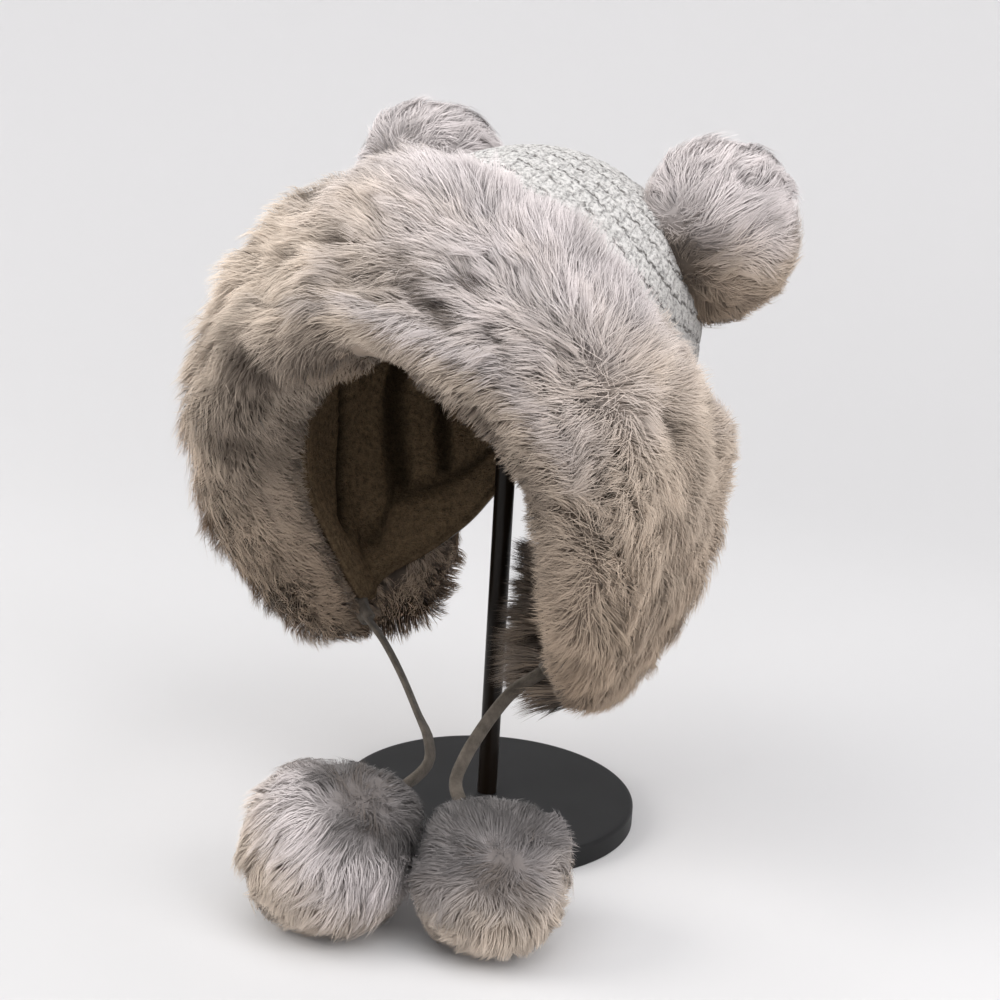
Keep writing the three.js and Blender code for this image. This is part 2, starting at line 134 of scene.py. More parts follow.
# Places where the fur parts and is painted dark as shade: angle, outline step, size in millimetres
FUR_HOLLOWS = [
    (7.0, 9.2, 12.0), (16.0, 9.8, 7.0), (29.0, 9.6, 5.0), (21.0, 8.2, 4.5), (-10.0, 7.8, 6.0),
    (-21.0, 8.4, 5.0), (59.0, 6.2, 4.5), (-30.0, 13.1, 8.0),
]
# Share by which the hair over the brow is cut short, by angle, and change of tone in zones of the
# trim, which is painted shade where it falls and painted light where it rises
BROW_CUT = ([0, 11, 16, 24], [0.95, 0.9, 0.45, 0.25])
TRIM_TONES = {
    "front": -1.5, "front_half": -0.6, "cheek": 1.0, "hanging": 1.3, "left_inner_edge": -1.7,
    "right_rear": 1.5,
}
# Sewn channels of the lining: angles at rows 1, 2.5, 4 and 6, and half width
LINING_CHANNELS = [
    ((30.0, 30.0, 30.0, 30.0), 3.4),
    ((76.0, 85.0, 86.0, 74.0), 4.4),
    ((125.0, 123.0, 119.0, 111.0), 7.6),
    ((143.0, 140.0, 137.0, 132.0), 4.4),
    ((162.0, 161.0, 160.0, 158.0), 3.6),
]

LINING_COLUMNS = 260
LINING_ROWS = 64
PIPING_SIDES = 10

# Knit: row above which the stitches show and are fine, depth of the gaps in millimetres, angle and row
# below which the trim hides it, and offsets of its turned hem from the shell and past the edge
KNIT_FINE_FROM = 4.8
KNIT_GAP_DEPTH = 1.1
KNIT_HIDDEN = (134, 4.5)
TURNED_HEM = [(0.3, 0.6), (1.2, 1.0), (2.4, 0.8)]

# Hair ribbons: places along one, its points, share of its shading that follows the fur's surface,
# and radius of its bend in millimetres
HAIR_PLACES = np.array([0.0, 0.52, 1.0])
HAIR_POINTS = 5
HAIR_SOFTNESS = 0.8
HAIR_BEND = 42.0
# Spread of a tuft of the trim in millimetres, strands in a tuft of fluff and of a pompom, and where
# the undercoat lies on the hair's scale from root to tip
TUFT_SPREAD = 2.8
FLUFF_TUFT = 10
POMPOM_TUFT = 10
UNDERCOAT_PLACE = 0.3
UNDERCOAT_TONE = -1.1
# Deep brown painted shade of the fur as shares of its warm tips, and the soft sheen of fur, suede and knit
FUR_PAINTED_SHADE = (0.667, 0.584, 0.494)
NAP_SHEEN = {"Sheen_Weight": 0.15, "Sheen_Roughness": 0.5}

# Pompoms: centre and radius in millimetres, height to width, a fuller side, the side that the
# painted shadow and the painted cool tips face, and where the hair parts
EAR_POMPOM_HAT_CENTRE = (82.0, 8.0, 111.0)
EAR_POMPOM_RADIUS = 42.0
EAR_POMPOM_STRETCH = 1.1
TIE_POMPOM_RIGHT = {"x": 4.0, "y": -145.0, "radius": 42.0, "flatness": 0.93, "lobe": (0.5, 0.1, 0.9)}
TIE_POMPOM_LEFT = {"x": 73.4, "y": -119.0, "radius": 36.5, "flatness": 0.97}
TIE_POMPOM_RIGHT_SHADE = (0.54, 0.18, 0.74)
TIE_POMPOM_LEFT_SHADE = (-0.2, -0.1, 0.95)
TIE_POMPOM_RIGHT_WHORL = (0.5, 0.0, 0.85)
TIE_POMPOM_LEFT_WHORL = (0.5, -0.65, 0.55)
EAR_WHORLS = {-1: (0.0, -1.0, 0.25), 1: (-0.12, -0.93, -0.28)}
# Height of a resting pompom's centre as a share of its own, and share filled by its dense body
POMPOM_REST = 0.96
POMPOM_BODY = 0.8

# Ties: angle of the flap's tip, share of the pompom's radius where they end, and middle points of
# their routes in millimetres, close to those of the part's source
TIE_ANGLE = 81.0
TIE_SEAT = 0.72
TIE_RIGHT_ROUTE = [(-32, -55, 102), (-16, -62, 90), (0, -71, 77), (12, -79, 69), (18, -88, 61)]
TIE_LEFT_ROUTE = [(46, -60, 96), (43, -72, 88), (41.5, -82, 80.5), (40.5, -93, 71), (42, -102, 62)]
TIE_ROUTE_POINTS = 33
# Points of the route that the folded and sewn end of a tie covers, the side that a tie's width turns
# from, and its turn from there in radians at the pompom
FOLD_POINTS = 4
TIE_FACING = (0.5, -0.86, 0.1)
TIE_END_TWIST = 0.5

# Stand: bevels of the base's top edge and of its foot, turn of a face that makes a sharp edge, dust
BASE_EDGE_BEVEL = 0.0018
BASE_FOOT_BEVEL = 0.001
SHARP_EDGE = math.radians(35)
DUST_COLOUR = (0.09, 0.09, 0.09)

# Camera: where the stand's base lies in a picture 1000 across, and the turn of the camera round it
PICTURE = 1000.0
FOCAL_LENGTH_PX = 1800.0
BASE_IN_PICTURE = (486.9, 790.0)
BASE_AIM_HEIGHT = 11.5
CAMERA_AZIMUTH = math.radians(30.0)
CAMERA_PITCH = math.radians(14.9)
CAMERA_ROLL = math.radians(3.3)
FLOOR_SPOKES = 96


def unit(vectors):
    """Each vector divided by its length."""
    return vectors / np.maximum(np.linalg.norm(vectors, axis=-1, keepdims=True), 1e-9)


def ramp_up(value, start, width):
    """0 up to the start, then rising evenly to 1 over the width."""
    return np.clip((value - start) / width, 0, 1)


def ramp_down(value, end, width):
    """Falling evenly to 0 over the width before the end, and 1 before that."""
    return np.clip((end - value) / width, 0, 1)


def rotation_x(turn):
    c, s = math.cos(turn), math.sin(turn)
    return np.array([[1, 0, 0], [0, c, -s], [0, s, c]])


def rotation_y(turn):
    c, s = math.cos(turn), math.sin(turn)
    return np.array([[c, 0, s], [0, 1, 0], [-s, 0, c]])


HAT_TURN = rotation_y(LEAN) @ rotation_x(-TILT_BACK)


def seated(points):
    """Points of the hat frame in millimetres, tilted, leaned and shifted onto the stand, in metres."""
    return (points @ HAT_TURN.T + HAT_SHIFT) * MM


def turned(vectors):
    """Directions of the hat frame in the row frame."""
    return vectors @ HAT_TURN.T


def eased(x, y, at, level_start=False):
    """Cubic through the points (x, y) that never overshoots: an inner slope is the harmonic mean of
    its neighbours' slopes, and 0 where they change sign."""
    x = np.asarray(x, float)
    y = np.asarray(y, float)
    at = np.clip(at, x[0], x[-1])
    slope = np.diff(y) / np.diff(x)
    before, after = slope[:-1], slope[1:]
    same = before * after > 0
    inner = np.where(same, 2 * before * after / np.where(same, before + after, 1), 0)
    tangent = np.concatenate([slope[:1], inner, slope[-1:]])
    if level_start:
        tangent[0] = 0
    i = np.clip(np.searchsorted(x, at, side="right") - 1, 0, len(x) - 2)
    width = x[i + 1] - x[i]
    t = (at - x[i]) / width
    from_start = (2 * t**3 - 3 * t**2 + 1) * y[i] + (t**3 - 2 * t**2 + t) * width * tangent[i]
    from_end = (3 * t**2 - 2 * t**3) * y[i + 1] + (t**3 - t**2) * width * tangent[i + 1]
    return from_start + from_end


def band(key, angle):
    """A measure of the trim band at an angle from the front, the same on both sides."""
    turn = np.abs((np.asarray(angle, float) + 180) % 360 - 180)
    return eased(BAND_ANGLES, BAND[key], turn, level_start=True)


def section(key, level):
    return eased(SECTION_LEVELS, SECTIONS[key], level)


def shell(angle, row):
    """Surface between lining and knit: at each level an ellipse of half width and front or back
    depth, whose depth closes over the crown as a quarter circle; rows 0 to 6 rise evenly from the
    hem to the top of the fur, and rows 6 to 13 reach the crown ridge."""
    angle, row = np.broadcast_arrays(np.asarray(angle, float), np.asarray(row, float))
    sine, cosine = np.sin(np.radians(angle)), np.cos(np.radians(angle))
    hem, middle = band("hem", angle), band("fur_top", angle)
    top = TOP_LEVEL - TOP_DROP * sine**2
    rest = 1 - (row - LOWER_ROWS) / (ROWS - LOWER_ROWS)
    lower = hem + (middle - hem) * row / LOWER_ROWS
    upper = top - (top - middle) * rest * (0.4 + 0.6 * rest)
    level = np.where(row <= LOWER_ROWS, lower, upper)
    fall = np.clip(1 - np.maximum(top - level, 0) / TOP_ROUNDING, 0, 1)
    closing = np.sqrt(1 - fall**2)
    reach = np.where(cosine > 0, section("front", level), section("back", level))
    pinch = np.where(cosine < 0, section("pinch", level) * cosine**2, 0)
    sway = FLAP_SWAY * (np.maximum(-level, 0) / FLAP_DROP) ** 1.5
    x = section("half", level) * (1 - pinch) * sine + sway
    return np.stack([x, -reach * closing * cosine, level], -1)


def shell_normal(angle, row):
    """Outward normal of the shell, from small steps along and up."""
    angle, row = np.broadcast_arrays(np.asarray(angle, float), np.asarray(row, float))
    row = np.clip(row, 0.02, ROWS - 0.05)
    along = shell(angle + 0.5, row) - shell(angle - 0.5, row)
    up = shell(angle, row + 0.02) - shell(angle, row - 0.02)
    return unit(np.cross(along, up))


def shell_offset(angle, row, offset):
    offset = np.asarray(offset, float)[..., None]
    return shell(angle, row) + shell_normal(angle, row) * offset


def past_edge(angle, row):
    """Unit direction in the shell's surface that leads down and out over the hem."""
    angle = np.asarray(angle, float)
    row = np.full(angle.shape, float(row))
    along = shell(angle + 4.5, row) - shell(angle - 4.5, row)
    return -unit(np.cross(shell_normal(angle, row), along))


def between_rows(table, at):
    """Smooth curve through the rows of a table, by Catmull and Rom's cubic, never below zero."""
    last = len(table) - 1
    at = np.clip(at, 0, last)
    i = np.clip(np.floor(at).astype(int), 0, last - 1)
    t = (at - i)[..., None]
    before, start, end, after = (table[np.clip(i + k, 0, last)] for k in (-1, 0, 1, 2))
    curve = (
        2 * start
        + (end - before) * t
        + (2 * before - 5 * start + 4 * end - after) * t**2
        + (3 * start - before - 3 * end + after) * t**3
    )
    return np.maximum(curve / 2, 0)


def fur_roll(angle, step, fullness=1.0):
    """Surface of the fur roll: the outline table swept round the trim band, its pile scaled by
    fullness and drawn in towards both ends of the band."""
    angle, step = np.broadcast_arrays(np.asarray(angle, float), np.asarray(step, float))
    share, over, past, height, held = np.moveaxis(between_rows(FUR_OUTLINE, step), -1, 0)
    share, held = np.minimum(share, 1), np.minimum(held, 1)
    closing = np.clip(0.25 + (FUR_END - np.abs(angle)) / 27, 0, 1)
    pile = band("pile", angle) * closing
    past = past * closing * band("reach", angle) * fullness
    lift = FUR_BACKING + height * fullness * (pile - FUR_BACKING) + past * FUR_FLARE
    under = np.minimum(band("under", angle), FUR_BACKING)
    points = shell_offset(angle, share * LOWER_ROWS, lift * (1 - held) + held * under)
    points = points + past_edge(angle, 0) * past[..., None]
    return points - past_edge(angle, LOWER_ROWS) * (over * closing * fullness)[..., None]


def fur_directions(angle, step):
    """Outward normal, direction of growing angle and direction up the band, on the fur roll."""
    along = fur_roll(angle + 0.6, step) - fur_roll(angle - 0.6, step)
    up = fur_roll(angle, step - 0.06) - fur_roll(angle, step + 0.06)
    normal = unit(np.cross(along, up))
    along = unit(along)
    return normal, along, unit(np.cross(normal, along))


def wander(points, period, seed):
    """Smooth noise of about -1 to 1: six sine waves in seeded directions, near one wavelength."""
    random = np.random.default_rng(seed)
    waves = unit(random.normal(size=(6, 3))) * random.uniform(0.7, 1.4, (6, 1))
    phases = random.uniform(0, 2 * math.pi, 6)
    return np.sin(points @ (waves * 2 * math.pi / period).T + phases).sum(-1) / 2.4


def wander_vectors(points, period, seeds):
    """A smooth noise for each of three directions."""
    return np.stack([wander(points, period, seed) for seed in seeds], -1)


def grid_quads(rows, columns, around=False):
    """Four-cornered faces of a grid of rows by columns, joined end to end where it goes around."""
    row, column = np.meshgrid(np.arange(rows - 1), np.arange(columns - (not around)), indexing="ij")
    following = (column + 1) % columns
    corners = [row * columns + column, row * columns + following]
    corners += [(row + 1) * columns + following, (row + 1) * columns + column]
    return np.stack(corners, -1).reshape(-1, 4)


def fan(middle, ring, flipped=False):
    """Triangles from a middle point to a ring of points, or the same turned over."""
    following = np.roll(ring, -1)
    pair = (following, ring) if flipped else (ring, following)
    return np.stack([np.full(len(ring), middle), *pair], -1)


def revolved(radii, heights, spokes):
    """Rings of points about the upright axis, one for each radius and height of a profile."""
    turn = np.linspace(0, 2 * math.pi, spokes, endpoint=False)
    radii, heights = np.asarray(radii, float)[:, None], np.asarray(heights, float)[:, None]
    return np.stack([radii * np.cos(turn), radii * np.sin(turn), np.repeat(heights, spokes, 1)], -1)


def closed_tube(rings, first, last):
    """Points, quads and end triangles of a tube through rings of points, closed to a point at each
    end."""
    count, sides = rings.shape[:2]
    points = np.concatenate([rings.reshape(-1, 3), [first, last]])
    ring = np.arange(sides)
    end = count * sides
    caps = np.concatenate([fan(end, ring, True), fan(end + 1, ring + (count - 1) * sides)])
    return points, grid_quads(count, sides, around=True), caps


def build_mesh(name, points, quads, triangles=None, attributes=None, uv=None, normals=None, turn=None):
    """A mesh object at the origin from whole arrays of points, faces and values at each point. Where
    turn is given, U starts again after it, and a face that spans the start runs on past it."""
    quads = np.asarray(quads, np.int32).reshape(-1, 4)
    triangles = np.zeros((0, 3), np.int32) if triangles is None else np.asarray(triangles, np.int32)
    corners = np.concatenate([quads.ravel(), triangles.ravel()])
    starts = np.concatenate([
        np.arange(len(quads)) * 4,
        len(quads) * 4 + np.arange(len(triangles)) * 3,
    ])
    mesh = bpy.data.meshes.new(name)
    mesh.vertices.add(len(points))
    mesh.vertices.foreach_set("co", np.asarray(points, np.float32).ravel())
    mesh.loops.add(len(corners))
    mesh.loops.foreach_set("vertex_index", corners.astype(np.int32))
    mesh.polygons.add(len(starts))
    mesh.polygons.foreach_set("loop_start", starts.astype(np.int32))
    mesh.polygons.foreach_set("use_smooth", np.full(len(starts), True))
    mesh.update(calc_edges=True)
    for key, values in (attributes or {}).items():
        attribute = mesh.attributes.new(key, "FLOAT", "POINT")
        attribute.data.foreach_set("value", np.asarray(values, np.float32).ravel())
    if uv is not None:
        layer = mesh.uv_layers.new(name="UVMap")
        uv = np.asarray(uv, np.float32)[corners]
        if turn:
            face = np.repeat(np.arange(len(starts)), np.diff(np.append(starts, len(corners))))
            across = uv[:, 0]
            width = np.maximum.reduceat(across, starts) - np.minimum.reduceat(across, starts)
            across += turn * ((across < turn / 2) & (width[face] > turn / 2))
        layer.data.foreach_set("uv", uv.ravel())
    if normals is not None:
        mesh.normals_split_custom_set_from_vertices(np.asarray(normals, np.float32))
    piece = bpy.data.objects.new(name, mesh)
    bpy.context.scene.collection.objects.link(piece)
    return piece


def finish_piece(piece, material, node=None):
    """Gives a piece its material, its CAD body and the node that it stands for."""
    piece.data.materials.append(material)
    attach(piece, "root")
    if node:
        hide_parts(node)
    return piece


class NodeTree:
    """Short helper that adds shader nodes to a material and links them."""

    def __init__(self, name):
        self.material = bpy.data.materials.new(name)
        self.material.use_nodes = True
        self.nodes = self.material.node_tree.nodes
        self.shader = self.nodes["Principled BSDF"]

    def add(self, kind, settings=None, **inputs):
        node = self.nodes.new(kind)
        for key, value in (settings or {}).items():
            setattr(node, key, value)
        for key, value in inputs.items():
            self.put(node.inputs[key.replace("_", " ")], value)
        return node

    def put(self, socket, value):
        if isinstance(value, bpy.types.NodeSocket):
            self.material.node_tree.links.new(value, socket)
        else:
            socket.default_value = value

    def coordinates(self):
        return self.add("ShaderNodeTexCoord").outputs["Object"]

    def attribute(self, name):
        return self.add("ShaderNodeAttribute", {"attribute_name": name}).outputs["Fac"]

    def noise(self, vector, scale, detail=3.0, roughness=0.55):
        node = self.add(
            "ShaderNodeTexNoise", Vector=vector, Scale=scale, Detail=detail, Roughness=roughness
        )
        return node.outputs["Fac"]

    def part(self, vector, axis):
        return self.add("ShaderNodeSeparateXYZ", Vector=vector).outputs[axis]

    def math(self, operation, first, second=0.0, clamp=False):
        node = self.add("ShaderNodeMath", {"operation": operation, "use_clamp": clamp})
        self.put(node.inputs[0], first)
        self.put(node.inputs[1], second)
        return node.outputs[0]

    def times(self, first, second, clamp=False):
        return self.math("MULTIPLY", first, second, clamp)

    def plus(self, first, second):
        return self.math("ADD", first, second)

    def minus(self, first, second):
        return self.math("SUBTRACT", first, second)

    def blend(self, share, first, second):
        node = self.add("ShaderNodeMix", {"data_type": "RGBA"})
        self.put(node.inputs[0], share)
        self.put(node.inputs[6], first)
        self.put(node.inputs[7], second)
        return node.outputs[2]

    def ramp(self, share, stops):
        node = self.add("ShaderNodeValToRGB", Fac=share)
        elements = node.color_ramp.elements
        while len(elements) < len(stops):
            elements.new(0.5)
        for element, (place, colour) in zip(elements, stops):
            element.position = place
            element.color = colour
        return node.outputs["Color"]

    def smooth(self, value, low, high):
        """0 below low, 1 above high and a smooth step between them."""
        settings = {"interpolation_type": "SMOOTHSTEP"}
        node = self.add("ShaderNodeMapRange", settings, Value=value, From_Min=low, From_Max=high)
        return node.outputs["Result"]

    def bump(self, height, strength, distance):
        node = self.add("ShaderNodeBump", Height=height, Strength=strength, Distance=distance)
        self.put(self.shader.inputs["Normal"], node.outputs["Normal"])

    def finish(self, colour, **constants):
        self.put(self.shader.inputs["Base Color"], colour)
        for key, value in constants.items():
            self.put(self.shader.inputs[key.replace("_", " ")], value)
        return self.material


def rgba(colour, factor=1.0, most=math.inf):
    """A colour for a node, each part multiplied by its factor and held below the most."""
    factors = np.broadcast_to(factor, 3)
    return (*(min(float(part * k), most) for part, k in zip(colour, factors)), 1.0)


class TrapperHatFur(bpy.types.PropertyGroup):
    """Sizes and colours of the faux fur."""

    trim_strands: IntProperty(
        name="Trim strands", description="Number of hair ribbons in the fur trim", default=172000
    )
    pompom_strands: IntProperty(
        name="Pompom strands", description="Number of hair ribbons in each pompom", default=16500
    )
    strands_per_tuft: IntProperty(
        name="Strands per tuft", description="Hair ribbons that share a tuft", default=14
    )
    strand_width: FloatProperty(
        name="Strand width", description="Width at the root", default=0.00035, unit="LENGTH"
    )
    undercoat: FloatProperty(
        name="Undercoat", description="Share of the pile filled by dense undercoat", default=0.76
    )
    sweep: FloatProperty(
        name="Sweep", description="How far a hair leans along the fur", default=0.0155, unit="LENGTH"
    )
    root_colour: FloatVectorProperty(
        name="Root colour", description="Colour near the skin", subtype="COLOR",
        default=(0.27, 0.212, 0.168),
    )
    # Warm and cool tips are painted light: the cool tips face the light from above, the warm ones face
    # away
    warm_colour: FloatVectorProperty(
        name="Warm tips", description="Tips on sides and undersides", subtype="COLOR",
        default=(0.64, 0.545, 0.455),
    )
    cool_colour: FloatVectorProperty(
        name="Cool tips", description="Tips that face upwards", subtype="COLOR",
        default=(0.645, 0.592, 0.585),
    )


class TrapperHatKnit(bpy.types.PropertyGroup):
    """Sizes and colours of the basket knit."""

    stitches_around: IntProperty(
        name="Stitches around", description="Columns of stitches round the crown", default=76
    )
    stitch_height: FloatProperty(
        name="Stitch height", description="Height of one stitch", default=0.0102, unit="LENGTH"
    )
    relief: FloatProperty(
        name="Relief", description="Depth between the stitches", default=0.0018, unit="LENGTH"
    )
    yarn_colour: FloatVectorProperty(
        name="Yarn colour", description="Main colour of the yarn", subtype="COLOR",
        default=(0.6, 0.585, 0.568),
    )
    gap_colour: FloatVectorProperty(
        name="Gap colour", description="Colour between the stitches", subtype="COLOR",
        default=(0.12, 0.112, 0.104),
    )


class TrapperHatLining(bpy.types.PropertyGroup):
    """Sizes and colours of the plush lining and the ties."""

    thickness: FloatProperty(
        name="Lining thickness", description="Thickness of the plush", default=0.005, unit="LENGTH"
    )
    channel_depth: FloatProperty(
        name="Channel depth", description="Depth of the sewn channels", default=0.0034, unit="LENGTH"
    )
    plush_colour: FloatVectorProperty(
        name="Plush colour", description="Main colour of the lining", subtype="COLOR",
        default=(0.21, 0.148, 0.088),
    )
    tie_width: FloatProperty(
        name="Tie width", description="Width of the flat ties", default=0.0065, unit="LENGTH"
    )
    tie_depth: FloatProperty(
        name="Tie depth", description="Thickness of the flat ties", default=0.0024, unit="LENGTH"
    )
    tie_colour: FloatVectorProperty(
        name="Tie colour", description="Colour of the suede-like ties", subtype="COLOR",
        default=(0.086, 0.073, 0.06),
    )


class TrapperHatStage(bpy.types.PropertyGroup):
    """Sizes of the stand, the stage and its lights."""

    base_radius: FloatProperty(
        name="Base radius", description="Radius of the stand's base", default=0.076, unit="LENGTH"
    )
    base_thickness: FloatProperty(
        name="Base thickness", description="Thickness of the base", default=0.011, unit="LENGTH"
    )
    pole_radius: FloatProperty(
        name="Pole radius", description="Radius of the pole", default=0.005, unit="LENGTH"
    )
    camera_distance: FloatProperty(
        name="Camera distance", description="From the base to the camera", default=0.9353, unit="LENGTH"
    )
    key_power: FloatProperty(
        name="Key light", description="Power of the light at the upper left", default=10.6, unit="POWER"
    )
    top_power: FloatProperty(
        name="Top light", description="Power of the overhead light", default=14.4, unit="POWER"
    )
    front_power: FloatProperty(
        name="Front light", description="Power of the light at the lower right", default=8.6, unit="POWER"
    )
    world_strength: FloatProperty(
        name="Surroundings", description="Brightness of the soft surroundings", default=0.55
    )
    floor_colour: FloatVectorProperty(
        name="Floor colour", description="Colour of the floor and backdrop", subtype="COLOR",
        default=(0.645, 0.64, 0.643),
    )


def camera_axes():
    """Right, up and forward of the camera, and its place, from its turn, pitch, roll and the aim."""
    a, e, roll = CAMERA_AZIMUTH, CAMERA_PITCH, CAMERA_ROLL
    forward = -np.array([math.sin(a) * math.cos(e), -math.cos(a) * math.cos(e), math.sin(e)])
    level = np.array([math.cos(a), math.sin(a), 0.0])
    upright = np.cross(level, forward)
    right = math.cos(roll) * level + math.sin(roll) * upright
    up = -math.sin(roll) * level + math.cos(roll) * upright
    return right, up, forward


def make_camera(distance):
    """Camera aimed so that the base's top centre lies at its place in the picture."""
    right, up, forward = camera_axes()
    aside = (BASE_IN_PICTURE[0] - PICTURE / 2) / FOCAL_LENGTH_PX * distance
    above = -(BASE_IN_PICTURE[1] - PICTURE / 2) / FOCAL_LENGTH_PX * distance
    place = np.array([0, 0, BASE_AIM_HEIGHT * MM]) - (right * aside + up * above + forward * distance)
    data = bpy.data.cameras.new("camera")
    data.sensor_width = 36.0
    data.lens = FOCAL_LENGTH_PX / PICTURE * data.sensor_width
    data.clip_start, data.clip_end = 0.01, 50
    camera = bpy.data.objects.new("camera", data)
    matrix = np.eye(4)
    matrix[:3, 0], matrix[:3, 1], matrix[:3, 2], matrix[:3, 3] = right, up, -forward, place
    camera.matrix_world = Matrix(matrix.tolist())
    bpy.context.scene.collection.objects.link(camera)
    bpy.context.scene.camera = camera


def make_floor(colour):
    """Round floor, level out to 0.7 m and then rising in a quarter ellipse to a wall 2.4 m out. Its
    colour holds painted light: darker in front of the stand, brighter in a ring close round it that
    lifts the stand's shadow, and brighter far out."""
    bend = np.linspace(0, math.pi / 2, 24)
    radius = np.concatenate([[0.02, 0.2, 0.45], 0.7 + 1.7 * np.sin(bend), [2.4]])
    height = np.concatenate([[0, 0, 0], 1.5 * (1 - np.cos(bend)), [2.6]])
    rings = revolved(radius, height, FLOOR_SPOKES)
    points = np.concatenate([rings.reshape(-1, 3), [[0, 0, 0]]])
    inner = fan(len(points) - 1, np.arange(FLOOR_SPOKES))
    quads = grid_quads(len(radius), FLOOR_SPOKES, around=True)[:, ::-1]
    floor = build_mesh("floor", points, quads, inner)
    tree = NodeTree("floor with painted light")
    place = tree.coordinates()
    flat = tree.add("ShaderNodeVectorMath", {"operation": "MULTIPLY"})
    tree.put(flat.inputs[0], place)
    flat.inputs[1].default_value = (1, 1, 0)
    reach = tree.add("ShaderNodeVectorMath", {"operation": "LENGTH"})
    tree.put(reach.inputs[0], flat.outputs[0])
    distance = reach.outputs["Value"]
    # Painted light: the floor is darker in front, brighter in a ring round the stand to lift its shadow,
    # and brighter far out
    back = tree.smooth(tree.part(place, "Y"), -0.26, 0.2)
    near = tree.blend(back, rgba(colour, 0.85), rgba(colour, 1.02))
    near = tree.blend(tree.smooth(distance, 0.09, 0.23), rgba(colour, 1.1), near)
    shade = tree.blend(tree.smooth(distance, 0.3, 2.2), near, rgba(colour, 1.38))
    floor.data.materials.append(tree.finish(shade, Roughness=0.9, Specular_IOR_Level=0.1))


def make_light(name, place, aim, size, power, colour):
    data = bpy.data.lights.new(name, "AREA")
    data.shape = "DISK"
    data.size = size
    data.energy = power
    data.color = colour
    light = bpy.data.objects.new(name, data)
    back = unit(np.array(place, float) - np.array(aim, float))
    side = unit(np.cross([0.0, 0.0, 1.0], back) + [1e-6, 0, 0])
    matrix = np.eye(4)
    matrix[:3, 0], matrix[:3, 1], matrix[:3, 2] = side, np.cross(back, side), back
    matrix[:3, 3] = place
    light.matrix_world = Matrix(matrix.tolist())
    light.visible_camera = False
    bpy.context.scene.collection.objects.link(light)


class TRAPPERHAT_OT_stage(bpy.types.Operator):
    """Sets the camera, the pale floor and the soft studio lights"""

    bl_idname = "trapper_hat.stage"
    bl_label = "Stage"

    def execute(self, context):
        settings = context.scene.trapper_hat_stage
        make_camera(settings.camera_distance)
        make_floor(settings.floor_colour)
        right, up, forward = camera_axes()
        aim = np.array([0.0, -0.03, 0.2])
        key = aim - right * 1.1 + up * 0.62 - forward * 0.42
        make_light("key_light", key, aim, 0.8, settings.key_power, (1.0, 0.975, 0.94))
        top = aim + np.array([0.1, -0.4, 1.25])
        make_light("top_light", top, aim, 1.6, settings.top_power, (0.97, 0.98, 1.0))
        front = aim + right * 0.8 + up * 0.35 - forward * 0.95
        make_light("front_light", front, aim, 0.9, settings.front_power, (1.0, 0.985, 0.98))
        world = bpy.data.worlds.new("soft surroundings")
        world.use_nodes = True
        background = world.node_tree.nodes["Background"]
        background.inputs["Color"].default_value = (0.98, 0.985, 1.0, 1.0)
        background.inputs["Strength"].default_value = settings.world_strength
        context.scene.world = world
        context.scene.view_settings.view_transform = "Standard"
        return {"FINISHED"}


def fur_material(name, settings, heights, cool=(0.5, 0.96), top=None):
    """Hair that is dark at the root and pale at the tip, with painted light in its tips: cool where the
    fur faces its cool side, where the light from above falls, and warm away from it. Where two heights
    are given, the cool fades out from the upper one down to the lower, and hair below them or facing
    away is deep brown as painted shade. A top has a colour of its own, a painted shadow, and the two
    values of facing between which it fades in. Hair with a very low tone is as dark as its root."""
    tree = NodeTree(name)
    along, tone, upward = (tree.attribute(key) for key in ("along", "tone", "upward"))
    place = tree.coordinates()
    patches = tree.times(tree.minus(tree.noise(place, 22.0, 3.0), 0.5), 0.5)
    facing = tree.plus(upward, patches)
    warm, chilly, dark = settings.warm_colour, settings.cool_colour, settings.root_colour
    # Painted light: tips facing the cool side, where light falls from above, turn cool
    share = tree.smooth(facing, cool[0], cool[1])
    if heights:
        level = tree.smooth(tree.part(place, "Z"), heights[0], heights[1])
        share = tree.times(share, level)
    tip = tree.blend(share, rgba(warm), rgba(chilly))
    root = tree.blend(share, rgba(dark), rgba(chilly, 0.52))
    # Painted shade: low hair and hair facing away from the light above turn deep brown
    if heights:
        under = tree.smooth(facing, -0.85, 0.05)
        tip = tree.blend(tree.times(level, under), rgba(warm, FUR_PAINTED_SHADE), tip)
    # Painted shadow: the top takes its own dark colour
    if top:
        zone = tree.plus(upward, tree.times(patches, 0.35))
        tip = tree.blend(tree.smooth(zone, top[1], top[2]), tip, rgba(top[0]))
    bare = tree.smooth(tree.times(tone, -1.0), 1.0, 3.0)
    tip = tree.blend(tree.times(bare, 0.8), tip, rgba(dark, 0.85))
    middle = tree.blend(0.45, tip, root)
    lower = tree.blend(tree.times(along, 2.2, True), root, middle)
    colour = tree.blend(tree.times(tree.minus(along, 0.35), 1.8, True), lower, tip)
    toned = tree.add("ShaderNodeVectorMath", {"operation": "SCALE"})
    tree.put(toned.inputs[0], colour)
    tree.put(toned.inputs["Scale"], tree.plus(tree.times(tone, 0.17), 1.0))
    return tree.finish(toned.outputs[0], Roughness=0.8, Specular_IOR_Level=0.1, **NAP_SHEEN)


